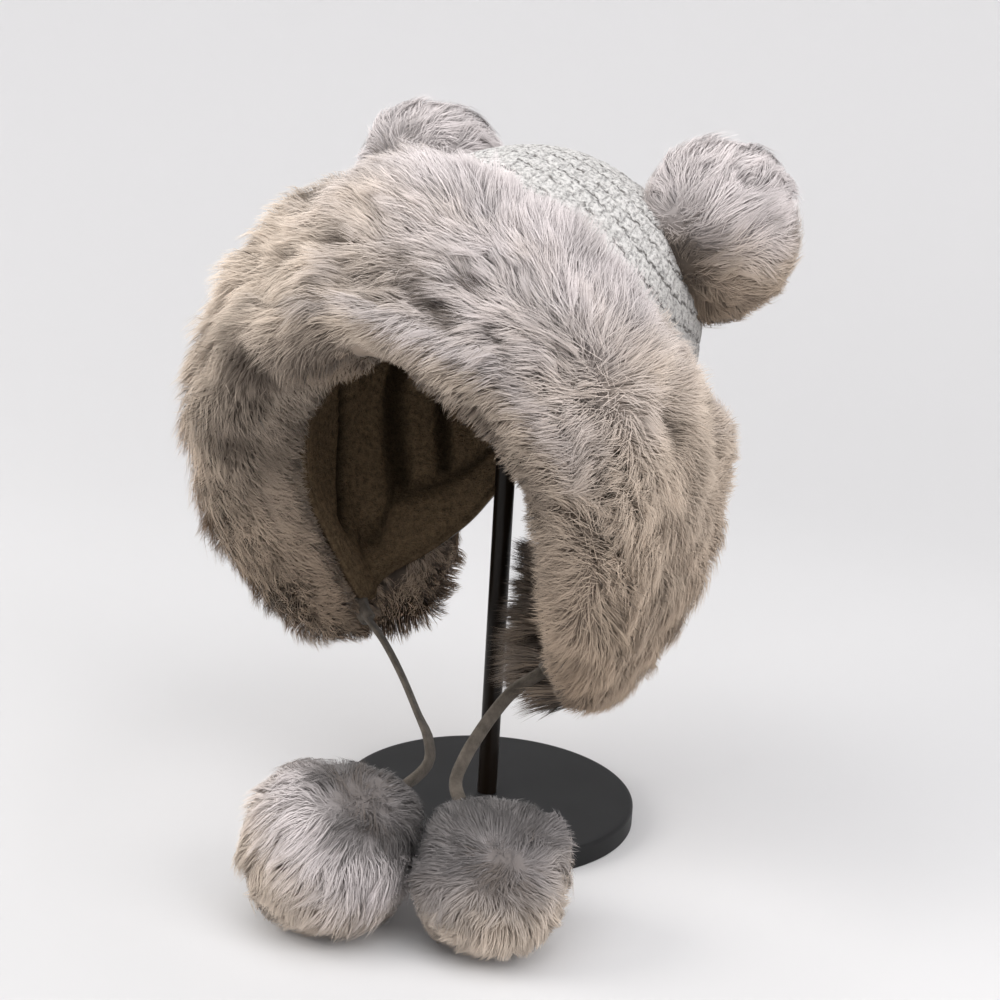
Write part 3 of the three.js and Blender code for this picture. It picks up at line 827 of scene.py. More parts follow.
def hair_ribbons(strands, leaders, random, width):
    """Tapered hair ribbons of two segments. A hair rises from its root by the sine of its length and
    sweeps along the flow by a power of it, bending down as it does, and is drawn towards the first
    hair of its tuft. Its shading normal lies between its own and the fur's."""
    t = HAIR_PLACES
    roots, normals, flows = (strands[key][:, None, :] for key in ("roots", "normals", "flows"))
    rises, sweeps, pulls = (strands[key][:, None] for key in ("rises", "sweeps", "pulls"))
    count = len(roots)
    lines = roots + normals * (rises * np.sin(t * math.pi / 2) ** 0.9)[..., None]
    aside = sweeps * t**1.6
    lines = lines + flows * aside[..., None]
    lines = lines - normals * (aside**2 / (2 * HAIR_BEND * MM))[..., None]
    lines = lines + (lines[leaders] - lines) * (pulls * t**1.15)[..., None]
    lines = lines + random.normal(0, 0.4 * MM, (count, 1, 3)) * t[None, :, None]
    tangents = np.gradient(lines, axis=1)
    facing = unit(strands["normals"] + random.normal(0, 0.22, (count, 3)))[:, None, :]
    sides = unit(np.cross(tangents, facing))
    own = unit(np.cross(sides, tangents))
    towards = np.sign((own * normals).sum((1, 2)) + 1e-9)[:, None, None]
    sides, own = sides * towards, own * towards
    half = width / 2 * np.array([1.0, 0.85])
    spread = sides[:, :2, :] * (half[None, :] * random.uniform(0.7, 1.25, (count, 1)))[..., None]
    rings = np.stack([lines[:, :2] - spread, lines[:, :2] + spread], 2).reshape(count, 4, 3)
    points = np.concatenate([rings, lines[:, 2:3]], 1).reshape(-1, 3)
    shading = unit(normals * HAIR_SOFTNESS + own * (1 - HAIR_SOFTNESS))
    shading = shading[:, [0, 0, 1, 1, 2]].reshape(-1, 3)
    first = (np.arange(count) * HAIR_POINTS)[:, None]
    along = np.tile(t[[0, 0, 1, 1, 2]], count)
    return points, first + [0, 1, 3, 2], first + [2, 3, 4], along, shading


def fur_flow(angle, step, points):
    """Lie of the hair in steps along and up the band: away from the front whorl, falling down the
    flaps, away from the flap whorl near it, over the knit at the top edge and down at the rim."""
    across = (angle - FRONT_WHORL[0]) * MM_PER_DEGREE
    above = (FRONT_WHORL[1] - step) * MM_PER_STEP
    distance = np.hypot(np.hypot(across, above), 11)
    along, up = across / distance, above / distance
    fall = ramp_up(np.abs(angle), 48, 40) * ramp_up(step, 5, 4)
    along = along * (1 - fall) + fall * 0.2 * np.sign(angle)
    up = up * (1 - fall) - fall
    across = (angle - FLAP_WHORL[0]) * MM_PER_DEGREE
    above = (FLAP_WHORL[1] - step) * MM_PER_STEP
    distance = np.hypot(across, above)
    near = np.exp(-((distance / 34) ** 2)) * (angle > 0)
    distance = np.hypot(distance, 9)
    along = along * (1 - near) + near * across / distance
    up = up * (1 - near) + near * (above / distance - 0.6)
    up = up + 0.9 * ramp_down(step, 3.2, 2)
    up = up - 0.8 * ramp_up(step, 12, 2.5) * (np.abs(angle) < 60)
    along = along + 0.3 * wander(points, 34, 3) + 0.22 * wander(points, 13, 5)
    up = up + 0.3 * wander(points, 34, 4) + 0.22 * wander(points, 13, 6)
    length = np.maximum(np.hypot(along, up), 0.45)
    return along / length, up / length


def fur_hollow(angle, step):
    """1 in the places where the fur parts and is painted dark as shade, falling to 0 round them."""
    depth = np.zeros(np.shape(angle))
    for at_angle, at_step, size in FUR_HOLLOWS:
        across = (angle - at_angle) * MM_PER_DEGREE
        above = (step - at_step) * MM_PER_STEP
        depth = np.maximum(depth, np.exp(-(((across * 0.75) ** 2 + above**2) / size**2)))
    return depth


def spread_over_roll(count, random):
    """Places on the fur roll, as angle and outline step, with an even number to each square millimetre."""
    angles = np.linspace(-FUR_END, FUR_END, 217)
    steps = np.linspace(0, FUR_LAST - 0.6, 84)
    grid = fur_roll(angles[:, None], steps[None, :], 0.9)
    sides = np.cross(grid[1:, :-1] - grid[:-1, :-1], grid[:-1, 1:] - grid[:-1, :-1])
    weight = np.linalg.norm(sides, axis=-1)
    total = np.cumsum(weight.ravel())
    drawn = (np.arange(count) + random.random(count)) / count * total[-1]
    cell = np.minimum(np.searchsorted(total, drawn), len(total) - 1)
    column, row = np.divmod(cell, weight.shape[1])
    angle = angles[column] + random.random(count) * (angles[1] - angles[0])
    step = steps[row] + random.random(count) * (steps[1] - steps[0])
    return angle, step


def trim_zones(angle, step):
    """Weight from 0 to 1 of each zone of the trim: products of even ramps over angle and outline step.
    Positive angles are the wearer's left."""
    side = np.abs(angle)
    low = ramp_up(step, 11.5, 2)
    cheek = np.exp(-(((angle + 50) / 14) ** 2)) * ramp_up(step, 5, 3) * ramp_down(step, 14, 2)
    return {
        "front": ramp_down(side, 62, 14) * low,
        "front_half": ramp_down(side, 62, 14) * ramp_up(step, 8, 3),
        "brow": ramp_up(angle, -14, 12) * ramp_down(angle, 60, 12) * low,
        "cheek": cheek,
        "hanging": ramp_down(angle, -8, 8) * ramp_up(angle, -54, 10) * ramp_up(step, 14.4, 0.8),
        "flap": ramp_up(step, 9, 3) * ramp_up(side, 60, 12),
        "flap_tip": ramp_down(np.abs(side - 88), 16, 8) * ramp_up(step, 10, 1.5),
        "flap_under": ramp_up(step, 14.6, 0.8) * ramp_up(side, 44, 10),
        "left_inner_edge": ramp_up(angle, 48, 8) * ramp_down(angle, 96, 8) * ramp_up(step, 12.8, 1.5),
        "right_rear": ramp_down(angle, -86, 8) * ramp_up(step, 12, 1.5),
    }


def tuft_tones(tuft, random, between, within):
    """Seeded tone of each hair: a normal value for its tuft and a smaller one of its own."""
    own_tuft = random.normal(0, 1, tuft[-1] + 1)[tuft]
    return between * own_tuft + within * random.normal(0, 1, len(tuft))


def splits(points, period, seed):
    """1 in narrow winding places where the locks of hair split, and 0 elsewhere."""
    return ramp_up(wander(points, period, seed), 0.8, 0.4)


def trim_strands(settings, random):
    """Hair of the fur trim: tufts spread over the roll, each with its strands round it. A hair fills
    the pile above the undercoat, swelling and thinning with smooth noise, and the zones of the trim,
    its hollows and its splits make it shorter or straighter. Its tone holds painted light and shade:
    darker in the hollows, the splits and low on the underside, lighter where the hair stands up, and
    lighter or darker by zone."""
    per_tuft = settings.strands_per_tuft
    tufts = settings.trim_strands // per_tuft
    angle, step = spread_over_roll(tufts, random)
    order = np.argsort(angle)
    tuft = np.repeat(np.arange(tufts), per_tuft)
    loose = np.tile(np.arange(per_tuft) > 0, tufts)
    angle, step = (
        middle[order][tuft] + loose * random.normal(0, TUFT_SPREAD, len(tuft)) / size
        for middle, size in ((angle, MM_PER_DEGREE), (step, MM_PER_STEP))
    )
    angle, step = np.clip(angle, -FUR_END, FUR_END), np.clip(step, 0, FUR_LAST)
    points = fur_roll(angle, step, settings.undercoat)
    normal, side, up = fur_directions(angle, step)
    flow_along, flow_up = fur_flow(angle, step, points)
    zone = trim_zones(angle, step)
    hollow, split = fur_hollow(angle, step), splits(points, 8, 12)

    pile = np.linalg.norm(fur_roll(angle, step) - points, axis=-1)
    swell = 1 + 0.24 * wander(points, 24, 7) + random.normal(0, 0.12, tufts)[tuft]
    rises = (pile * 1.2 + 3) * np.clip(swell, 0.45, 1.5) * random.uniform(0.8, 1.12, len(tuft))
    rises = rises * (1 - np.interp(angle, *BROW_CUT) * zone["brow"])
    rises = rises * (1 - 0.5 * ramp_up(step, 15, 1.6))
    rises = rises + zone["flap_under"] * np.maximum(random.uniform(4, 8, len(tuft)) - rises, 0)
    rises = rises + 4.5 * zone["cheek"]
    rises = rises * (1 - np.where(angle > 0, 0.5, 0.35) * zone["flap_tip"])
    rises = rises + zone["hanging"] * (random.uniform(7, 11, len(tuft)) - rises)
    rises = rises * (1 - 0.55 * hollow) * (1 - 0.42 * split)

    lean = 0.55 + 0.45 * ramp_up(step, 0, 3)
    lean = lean * (1 - 0.75 * ramp_up(step, 12.4, 2.2)) + 0.3 * zone["flap_under"]
    lean = lean * (1 - 0.4 * zone["flap"])
    sweeps = settings.sweep / MM * lean * random.uniform(0.75, 1.15, len(tuft))
    sweeps = sweeps * (1 - 0.7 * zone["brow"]) * (1 - 0.4 * hollow)

    # Painted shade where the locks split and in the hollows, darker low on the underside, and painted
    # light where the hair stands up at the whorls
    tone = tuft_tones(tuft, random, 0.4, 0.22) + 0.45 * wander(points, 30, 11) - 1.6 * split
    tone = tone - 4.0 * hollow * random.uniform(0.4, 1.2, len(tuft))
    tone = tone + 0.8 * (1 - np.hypot(flow_along, flow_up)) - 0.3 * ramp_up(step, 15, 1)
    # Painted shade and light by zone: darker at the front below the bulge and the left inner edge, lighter
    # on the right cheek, the hanging hair on the right and the right rear
    for key, change in TRIM_TONES.items():
        tone = tone + change * zone[key]
    return {
        "tuft": tuft,
        "roots": seated(points),
        "normals": turned(normal),
        "flows": turned(side * flow_along[:, None] + up * flow_up[:, None]),
        "rises": rises * MM,
        "sweeps": sweeps * MM,
        "pulls": random.uniform(0.35, 0.85, len(tuft)) * loose,
        "tone": np.clip(tone, -3.4, 2.2),
    }


def fur_attributes(along, tone, upward):
    """Values that the fur materials read: place from root to tip, tone, and how far it faces the cool
    side."""
    return {"along": along, "tone": tone, "upward": upward}


def make_undercoat(settings, material):
    """Dense closed body under the hair: the fur roll at part of its pile, joined along the backing."""
    angles = np.linspace(-FUR_END, FUR_END, 193)[:, None]
    steps = np.linspace(0, FUR_LAST, 70)
    backing = np.linspace(0, LOWER_ROWS, 6)
    outer = fur_roll(angles, steps, settings.undercoat + 0.03)
    normal, _, _ = fur_directions(angles, steps)
    inner = shell_offset(angles, backing, np.full((len(angles), len(backing)), FUR_BACKING))
    loops = np.concatenate([outer, inner], 1)
    swell = (wander(loops, 9, 21) * 0.5 + wander(loops, 22, 22) * 0.6)[:, :len(steps)]
    outer = outer + normal * (swell * ramp_up(steps, 0, 4))[..., None]
    rings = seated(np.concatenate([outer, inner], 1))
    points, quads, caps = closed_tube(rings, rings[0].mean(0), rings[-1].mean(0))
    hidden = np.zeros((len(angles), len(backing)))
    upward = turned(normal) @ unit(np.array(COOL_SIDE))
    upward = np.append(np.concatenate([upward, hidden], 1), [0, 0])
    # Painted light and shade on the undercoat: lighter where the hair stands up at the whorls, darker on
    # the underside and on the hidden backing
    lit = 1.5 * (1 - np.hypot(*fur_flow(angles, steps, outer))) - 1.4 * ramp_up(steps, 13.5, 2)
    lit = np.append(np.concatenate([lit, hidden - 1.4], 1), [0, 0])
    tone = 0.3 * wander(points / MM, 8, 5) + lit + UNDERCOAT_TONE
    attributes = fur_attributes(np.full(len(points), UNDERCOAT_PLACE), tone, upward)
    piece = build_mesh("fur_trim_undercoat", points, quads, caps, attributes)
    return finish_piece(piece, material, "fur_trim")


class TRAPPERHAT_OT_fur_trim(bpy.types.Operator):
    """Builds the deep fur trim round the face, the ear flaps and the sides"""

    bl_idname = "trapper_hat.fur_trim"
    bl_label = "Fur Trim"

    def execute(self, context):
        settings = context.scene.trapper_hat_fur
        random = np.random.default_rng(41)
        # Painted light and shade: cool tips where the fur faces the light from above, fading out below 0.3
        # m, and deep brown on low and downward hair
        material = fur_material("trim fur", settings, (0.06, 0.3))
        make_undercoat(settings, material)
        strands = trim_strands(settings, random)
        per_tuft = settings.strands_per_tuft
        tufts = len(strands["tuft"]) // per_tuft
        names = ("right_flap", "front_right", "front_left", "left_flap")
        for index, name in enumerate(names):
            first, last = (tufts * k // len(names) * per_tuft for k in (index, index + 1))
            part = {key: values[first:last] for key, values in strands.items()}
            strand_piece(name, part, per_tuft, random, settings, material)
        for name, part in (("rear_fluff", rear_fluff(random)), ("hem_fluff", hem_fluff(random))):
            strand_piece(name, part, FLUFF_TUFT, random, settings, material)
        return {"FINISHED"}


def strand_piece(name, part, per_tuft, random, settings, material):
    """One joined piece of trim strands, whose tufts each have the same number of hairs."""
    leaders = np.repeat(np.arange(0, len(part["tone"]), per_tuft), per_tuft)
    points, quads, triangles, along, shading = hair_ribbons(part, leaders, random, settings.strand_width)
    upward = np.repeat(part["normals"] @ unit(np.array(COOL_SIDE)), HAIR_POINTS)
    attributes = fur_attributes(along, np.repeat(part["tone"], HAIR_POINTS), upward)
    piece = build_mesh("fur_trim_" + name, points, quads, triangles, attributes, normals=shading)
    return finish_piece(piece, material, "fur_trim")


def fluff_places(tufts, angles, steps, random):
    """Tufts of loose strands between two angles and two outline steps of the roll."""
    tuft = np.repeat(np.arange(tufts), FLUFF_TUFT)
    loose = np.tile(np.arange(FLUFF_TUFT) > 0, tufts)
    angle = random.uniform(*angles, tufts)[tuft] + loose * random.normal(0, 1.2, len(tuft))
    step = random.uniform(*steps, tufts)[tuft] + loose * random.normal(0, 0.2, len(tuft))
    return tuft, loose, angle, step


def fluff_lengths(tuft, random, low, high, least, most):
    """Seeded lengths: a value for each tuft, times one of each hair's own."""
    tufts = tuft[-1] + 1
    return random.uniform(low, high, tufts)[tuft] * random.uniform(least, most, len(tuft))


def rear_fluff(random):
    """Long hair at the rear edge of the left flap that folds in towards the middle of the hat, more
    upwards the nearer it grows to the back, painted dark as shade."""
    tuft, loose, angle, step = fluff_places(1850, (86, 144), (14.2, 16.8), random)
    points = fur_roll(angle, step, 0.76)
    rise = np.interp(angle, [86, 110, 128, 144], [-0.05, -0.08, 0.3, 1.1])
    inward = np.stack([np.full(len(angle), -0.82), np.full(len(angle), -0.45), rise], -1)
    inward = unit(inward) + 0.28 * wander_vectors(points, 15, (71, 72, 73))
    reach = np.interp(angle, [86, 100, 118, 130, 144], [35, 46, 40, 33, 30])
    # Painted shade: the fluff's tone is lowered
    tone = tuft_tones(tuft, random, 0.5, 0.3) - 2.8
    return {
        "roots": seated(points),
        "normals": unit(inward),
        "flows": turned(past_edge(angle, 0)),
        "rises": reach * fluff_lengths(tuft, random, 0.5, 1.0, 0.8, 1.05) * MM,
        "sweeps": random.uniform(1, 8, len(tuft)) * MM,
        "pulls": random.uniform(0.2, 0.6, len(tuft)) * loose,
        "tone": np.clip(tone, -3.8, 0),
    }


def hem_fluff(random):
    """Short hair at the front edge of the right flap that leans in over the edge of the lining."""
    tuft, loose, angle, step = fluff_places(420, (-90, -32), (15.6, 17.0), random)
    points = fur_roll(angle, step, 0.76)
    inward = past_edge(angle, 0) * 0.55 - shell_normal(angle, 0)
    inward = unit(inward) + 0.22 * wander_vectors(points, 15, (74, 75, 76))
    tone = tuft_tones(tuft, random, 0.4, 0.25) - 0.6
    return {
        "roots": seated(points),
        "normals": turned(unit(inward)),
        "flows": turned(past_edge(angle, 0)),
        "rises": fluff_lengths(tuft, random, 4, 9, 0.8, 1.1) * MM,
        "sweeps": random.uniform(1, 5, len(tuft)) * MM,
        "pulls": random.uniform(0.2, 0.6, len(tuft)) * loose,
        "tone": np.clip(tone, -2, 1),
    }


def ball_place(pompom, directions):
    """Point of a pompom's outer form in a direction: a ball, stretched or flattened, a little squared
    off and uneven, with a fuller side where it has one, and level where it rests."""
    squared = (np.abs(directions) ** pompom["boxiness"]).sum(-1, keepdims=True)
    scale = np.array([1, 1, pompom["flatness"]]) * pompom["radius"]
    local = directions * squared ** (-1 / pompom["boxiness"]) * scale
    local = local * (1 + 0.03 * wander(directions * 40, 34, 38))[..., None]
    if "lobe" in pompom:
        near = (directions * unit(np.array(pompom["lobe"]))).sum(-1, keepdims=True)
        local = local * (1 + 0.1 * np.exp((near - 1) * 9))
    if "floor" in pompom:
        local[..., 2] = np.maximum(local[..., 2], pompom["floor"])
    return local


def pompom_flow(directions, whorl):
    """Lie of a pompom's hair along its ball: away from where it parts, turned by smooth noise."""
    away = directions - whorl
    flows = away - (away * directions).sum(-1, keepdims=True) * directions
    flows = flows / np.hypot(np.linalg.norm(flows, axis=-1, keepdims=True), 0.45)
    for period, share in ((30, 0.36), (14, 0.3)):
        flows = flows + share * wander_vectors(directions * 40, period, (31, 32, 33))
    flows = flows - (flows * directions).sum(-1, keepdims=True) * directions
    return flows / np.maximum(np.linalg.norm(flows, axis=-1, keepdims=True), 0.9)


def make_pompom(name, pompom, settings, material, random):
    """Pompom of tufts set evenly over a ball, on a spiral, leaning away from where the hair parts, with
    a dense body inside."""
    tufts = settings.pompom_strands // POMPOM_TUFT
    index = np.arange(tufts) + 0.5
    polar = np.arccos(1 - 2 * index / tufts)
    turn = math.pi * (1 + math.sqrt(5)) * index
    tuft_at = np.stack([np.cos(turn) * np.sin(polar), np.sin(turn) * np.sin(polar), np.cos(polar)], -1)
    tuft_at = unit(tuft_at + random.normal(0, 0.03, tuft_at.shape))
    tuft = np.repeat(np.arange(tufts), POMPOM_TUFT)
    loose = np.tile(np.arange(POMPOM_TUFT) > 0, tufts)
    directions = unit(tuft_at[tuft] + random.normal(0, 0.058, (len(tuft), 3)) * loose[:, None])
    whorl, cool_side = (unit(np.array(pompom[key], float)) for key in ("whorl", "cool_side"))
    outer = ball_place(pompom, directions)
    depth = np.linalg.norm(outer, axis=-1) * (1 - POMPOM_BODY)
    parting = np.exp((directions @ whorl - 1) * 11)
    swell = 1 + 0.25 * wander(outer, 22, 35) + random.normal(0, 0.12, tufts)[tuft] - 0.4 * parting
    strands = {
        "roots": (outer * POMPOM_BODY + np.array(pompom["centre"])) * MM,
        "normals": directions,
        "flows": pompom_flow(directions, whorl),
        "rises": depth * 0.95 * np.clip(swell, 0.45, 1.35) * random.uniform(0.8, 1.05, len(tuft)) * MM,
        "sweeps": pompom["radius"] * 0.46 * random.uniform(0.75, 1.15, len(tuft)) * MM,
        "pulls": random.uniform(0.4, 0.85, len(tuft)) * loose,
    }
    points, quads, triangles, along, shading = hair_ribbons(
        strands, tuft * POMPOM_TUFT, random, settings.strand_width * 1.15
    )
    if "floor" in pompom:
        points[:, 2] = np.maximum(points[:, 2], 0.0004)
    # Painted shade where the hair parts and where the locks split, on the hair and the dense body
    tone = tuft_tones(tuft, random, 0.4, 0.22) + 0.5 * wander(outer, 24, 36)
    tone = tone - pompom["parting"] * parting - 0.8 * splits(outer, 9, 37)
    body, faces, body_out = pompom_body(pompom, POMPOM_BODY + 0.03)
    body_tone = UNDERCOAT_TONE - pompom["parting"] * np.exp((body_out @ whorl - 1) * 11)
    attributes = fur_attributes(
        np.append(along, np.full(len(body), UNDERCOAT_PLACE)),
        np.append(np.repeat(np.clip(tone, -3.2, 1.6), HAIR_POINTS), body_tone),
        np.append(np.repeat(directions @ cool_side, HAIR_POINTS), body_out @ cool_side),
    )
    triangles = np.concatenate([triangles, faces + len(points)])
    points, shading = np.concatenate([points, body]), np.concatenate([shading, body_out])
    piece = build_mesh(name + "_fur", points, quads, triangles, attributes, normals=shading)
    return finish_piece(piece, material, name)


def pompom_body(pompom, share):
    """Closed ball of dense undercoat: rings between two poles, as triangles."""
    rings, spokes = 30, 48
    polar = np.linspace(0, math.pi, rings + 1)[1:-1]
    directions = revolved(np.sin(polar), np.cos(polar), spokes).reshape(-1, 3)
    directions = np.concatenate([directions, [[0, 0, 1], [0, 0, -1]]])
    local = ball_place(pompom, directions) * (share + 0.012 * wander(directions * 40, 12, 9))[:, None]
    quads = grid_quads(rings - 1, spokes, around=True)[:, ::-1]
    ring, poles = np.arange(spokes), len(directions)
    faces = np.concatenate([
        quads[:, [0, 1, 2]], quads[:, [0, 2, 3]],
        fan(poles - 2, ring), fan(poles - 1, (rings - 2) * spokes + ring, True),
    ])
    points = (local + np.array(pompom["centre"])) * MM
    return points, faces, unit(local)


def tie_pompom(place, whorl, cool_side):
    """A pompom that rests on the table, with its place, its whorl and the side that its top faces."""
    height = POMPOM_REST * place["flatness"] * place["radius"]
    more = {"centre": (place["x"], place["y"], height), "whorl": whorl, "cool_side": cool_side}
    return {**place, **more, "boxiness": 2.25, "floor": 0.6 - height, "parting": 1.8}


def centripetal(points, count):
    """Smooth route through points, by Catmull and Rom's curve with its knots spaced by the square
    root of the distance, sampled evenly along its length."""
    points = np.asarray(points, float)
    points = np.concatenate([[2 * points[0] - points[1]], points, [2 * points[-1] - points[-2]]])
    knots = np.concatenate([[0], np.cumsum(np.linalg.norm(np.diff(points, axis=0), axis=1) ** 0.5)])
    line = []
    for i in range(1, len(points) - 2):
        t = np.linspace(knots[i], knots[i + 1], 24, endpoint=False)[:, None]
        a = [
            ((knots[i + k] - t) * points[i + k - 1] + (t - knots[i + k - 1]) * points[i + k])
            / (knots[i + k] - knots[i + k - 1])
            for k in (0, 1, 2)
        ]
        b = [
            ((knots[i + k + 1] - t) * a[k] + (t - knots[i + k - 1]) * a[k + 1])
            / (knots[i + k + 1] - knots[i + k - 1])
            for k in (0, 1)
        ]
        line.append(((knots[i + 1] - t) * b[0] + (t - knots[i]) * b[1]) / (knots[i + 1] - knots[i]))
    line = np.concatenate(line + [points[-2:-1]])
    length = np.concatenate([[0], np.cumsum(np.linalg.norm(np.diff(line, axis=0), axis=1))])
    even = np.linspace(0, length[-1], count)
    return np.stack([np.interp(even, length, line[:, k]) for k in range(3)], -1), length[-1]


def tie_route(side, middle, pompom):
    """Centre line and length of a tie in metres: out of the flap's tip, through its middle points and
    into the pompom."""
    tip = np.array(side * TIE_ANGLE)
    anchor = shell_offset(tip, 0, -0.8)
    out = past_edge(tip, 0)
    start, below = (seated(anchor + out * reach) / MM for reach in (0.5, 6.0))
    points = [start, below, *np.array(middle, float)]
    centre = np.array(pompom["centre"])
    points.append(centre + unit(points[-1] - centre) * pompom["radius"] * TIE_SEAT)
    route, length = centripetal(points, TIE_ROUTE_POINTS)
    return route * MM, length * MM


def strap(route, half_width, half_depth, facing, twist, sides=14):
    """Flat strap along a route: a rounded flat section whose wide side turns by twist from facing. V
    runs along it and U round it."""
    tangents = unit(np.gradient(route, axis=0))
    wide = unit(np.cross(tangents, facing))
    thick = unit(np.cross(wide, tangents))
    c, s = np.cos(twist)[:, None], np.sin(twist)[:, None]
    wide, thick = wide * c + thick * s, thick * c - wide * s
    turn = np.linspace(0, 2 * math.pi, sides, endpoint=False)
    x = half_width * np.sign(np.cos(turn)) * np.abs(np.cos(turn)) ** 0.6
    y = half_depth * np.sign(np.sin(turn)) * np.abs(np.sin(turn)) ** 0.6
    rings = route[:, None] + wide[:, None] * x[None, :, None] + thick[:, None] * y[None, :, None]
    along = np.repeat(np.linspace(0, 1, len(route)), sides)
    uv = np.stack([np.tile(np.linspace(0, 1, sides), len(route)), along], -1)
    return *closed_tube(rings, route[0], route[-1]), np.concatenate([uv, [[0.5, 0], [0.5, 1]]])


def suede_material(name, colour):
    """Napped suede: two tones in fine streaks, with a low fuzzy bump."""
    tree = NodeTree(name)
    place = tree.coordinates()
    patches = tree.noise(place, 190.0, 4.0)
    fuzz = tree.noise(place, 1100.0, 4.0, 0.7)
    light = rgba(colour, 1.6, 1)
    base = tree.blend(tree.smooth(patches, 0.2, 0.8), rgba(colour, 0.5), light)
    shade = tree.blend(tree.times(fuzz, 0.5), base, light)
    tree.bump(fuzz, 0.9, 0.0007)
    return tree.finish(shade, Roughness=0.92, Specular_IOR_Level=0.1, **NAP_SHEEN)


class TRAPPERHAT_OT_ties(bpy.types.Operator):
    """Builds the two flat ties and the pompoms that rest on the table at their ends"""

    bl_idname = "trapper_hat.ties"
    bl_label = "Ties"

    def execute(self, context):
        lining = context.scene.trapper_hat_lining
        fur = context.scene.trapper_hat_fur
        suede = suede_material("tie suede", lining.tie_colour)
        # Painted shadow and light on the tie pompoms: a dark top where the hat shades them, cool tips
        # below it and warm ones away
        hairs = {
            side: fur_material(side + " tie pompom fur", fur, None, cool, top)
            for side, cool, top in (
                ("right", (-0.25, 0.6), ((0.075, 0.07, 0.067), 0.62, 0.85)),
                ("left", (-0.3, 0.6), ((0.06, 0.057, 0.056), -0.3, 0.75)),
            )
        }
        facing = unit(np.array(TIE_FACING))
        right = tie_pompom(TIE_POMPOM_RIGHT, TIE_POMPOM_RIGHT_WHORL, TIE_POMPOM_RIGHT_SHADE)
        left = tie_pompom(TIE_POMPOM_LEFT, TIE_POMPOM_LEFT_WHORL, TIE_POMPOM_LEFT_SHADE)
        ends = (("right", -1, TIE_RIGHT_ROUTE, right, 1.45), ("left", 1, TIE_LEFT_ROUTE, left, 0.2))
        for side, sign, middle, pompom, turn in ends:
            route, length = tie_route(sign, middle, pompom)
            twist = turn + (TIE_END_TWIST - turn) * ramp_up(np.linspace(0, 1, len(route)), 0.55, 0.25)
            points, quads, caps, uv = strap(
                route, lining.tie_width / 2, lining.tie_depth / 2, facing, twist
            )
            fold = strap(
                route[:FOLD_POINTS], lining.tie_width * 0.6, lining.tie_depth * 1.3, facing,
                np.full(FOLD_POINTS, 0.3 * sign),
            )
            start = len(points)
            points, uv = np.concatenate([points, fold[0]]), np.concatenate([uv, fold[3]])
            quads = np.concatenate([quads, fold[1] + start])
            caps = np.concatenate([caps, fold[2] + start])
            tie = build_mesh("tie_strap_" + side, points, quads, caps, uv=uv)
            finish_piece(tie, suede, "tie_" + side)
            random = np.random.default_rng(50 + sign)
            ball = make_pompom("tie_pompom_" + side, pompom, fur, hairs[side], random)
        return {"FINISHED"}


class TRAPPERHAT_OT_ear_pompoms(bpy.types.Operator):
    """Builds the two pompoms on the corners of the crown"""

    bl_idname = "trapper_hat.ear_pompoms"
    bl_label = "Ear Pompoms"

    def execute(self, context):
        fur = context.scene.trapper_hat_fur
        # Painted light and shade: cool tips face the light from above, and the hair turns deep brown low
        # on the pompoms and facing away
        hair = fur_material("ear pompom fur", fur, (0.23, 0.33), (-0.15, 0.45))
        for side, sign in (("right", -1), ("left", 1)):
            x, y, z = EAR_POMPOM_HAT_CENTRE
            centre = seated(np.array([sign * x, y, z])) / MM
            pompom = {
                "centre": centre,
                "radius": EAR_POMPOM_RADIUS,
                "flatness": EAR_POMPOM_STRETCH,
                "boxiness": 2.0,
                "whorl": EAR_WHORLS[sign],
                "cool_side": (0.2, -0.3, 0.9),
                "parting": 3.2,
            }
            random = np.random.default_rng(60 + sign)
            make_pompom("ear_pompom_" + side, pompom, fur, hair, random)
        return {"FINISHED"}


def even_rows(count, first, last):
    """Row values that are evenly spaced along the shell's mean line from hem to ridge."""
    fine = np.linspace(first, last, 3000)
    length = np.zeros(len(fine))
    for angle in (0.0, 40.0, 140.0, 180.0):
        length[1:] += np.cumsum(np.linalg.norm(np.diff(shell(angle, fine), axis=0), axis=1))
    return np.interp(np.linspace(0, length[-1], count), length, fine)


def ridge_seam(rows, columns):
    """Point numbers of a grid of rows by columns round the hat, whose last row is joined front to back."""
    index = np.arange(rows * columns).reshape(rows, columns)
    column = np.arange(columns)
    twin = (columns // 2 - column) % columns
    index[-1] = np.where(twin < column, index[-1][twin], index[-1])
    return index


def faces_of(index, keep=None):
    """Quads of a grid of point numbers that goes around, and triangles where two corners are one point."""
    a, b = index[:-1], np.roll(index, -1, 1)[:-1]
    c, d = np.roll(index, -1, 1)[1:], index[1:]
    quads = np.stack([a, b, c, d], -1)
    if keep is not None:
        quads = quads[keep]
    quads = quads.reshape(-1, 4)
    pinched = quads[:, 2] == quads[:, 3]
    return quads[~pinched], quads[pinched][:, :3]


def without_unused(points, quads, triangles, *values):
    """Drops the points that no face uses, with their values."""
    used = np.zeros(len(points), bool)
    used[quads.ravel()] = True
    used[triangles.ravel()] = True
    renumber = np.cumsum(used) - 1
    return points[used], renumber[quads], renumber[triangles], *(value[used] for value in values)


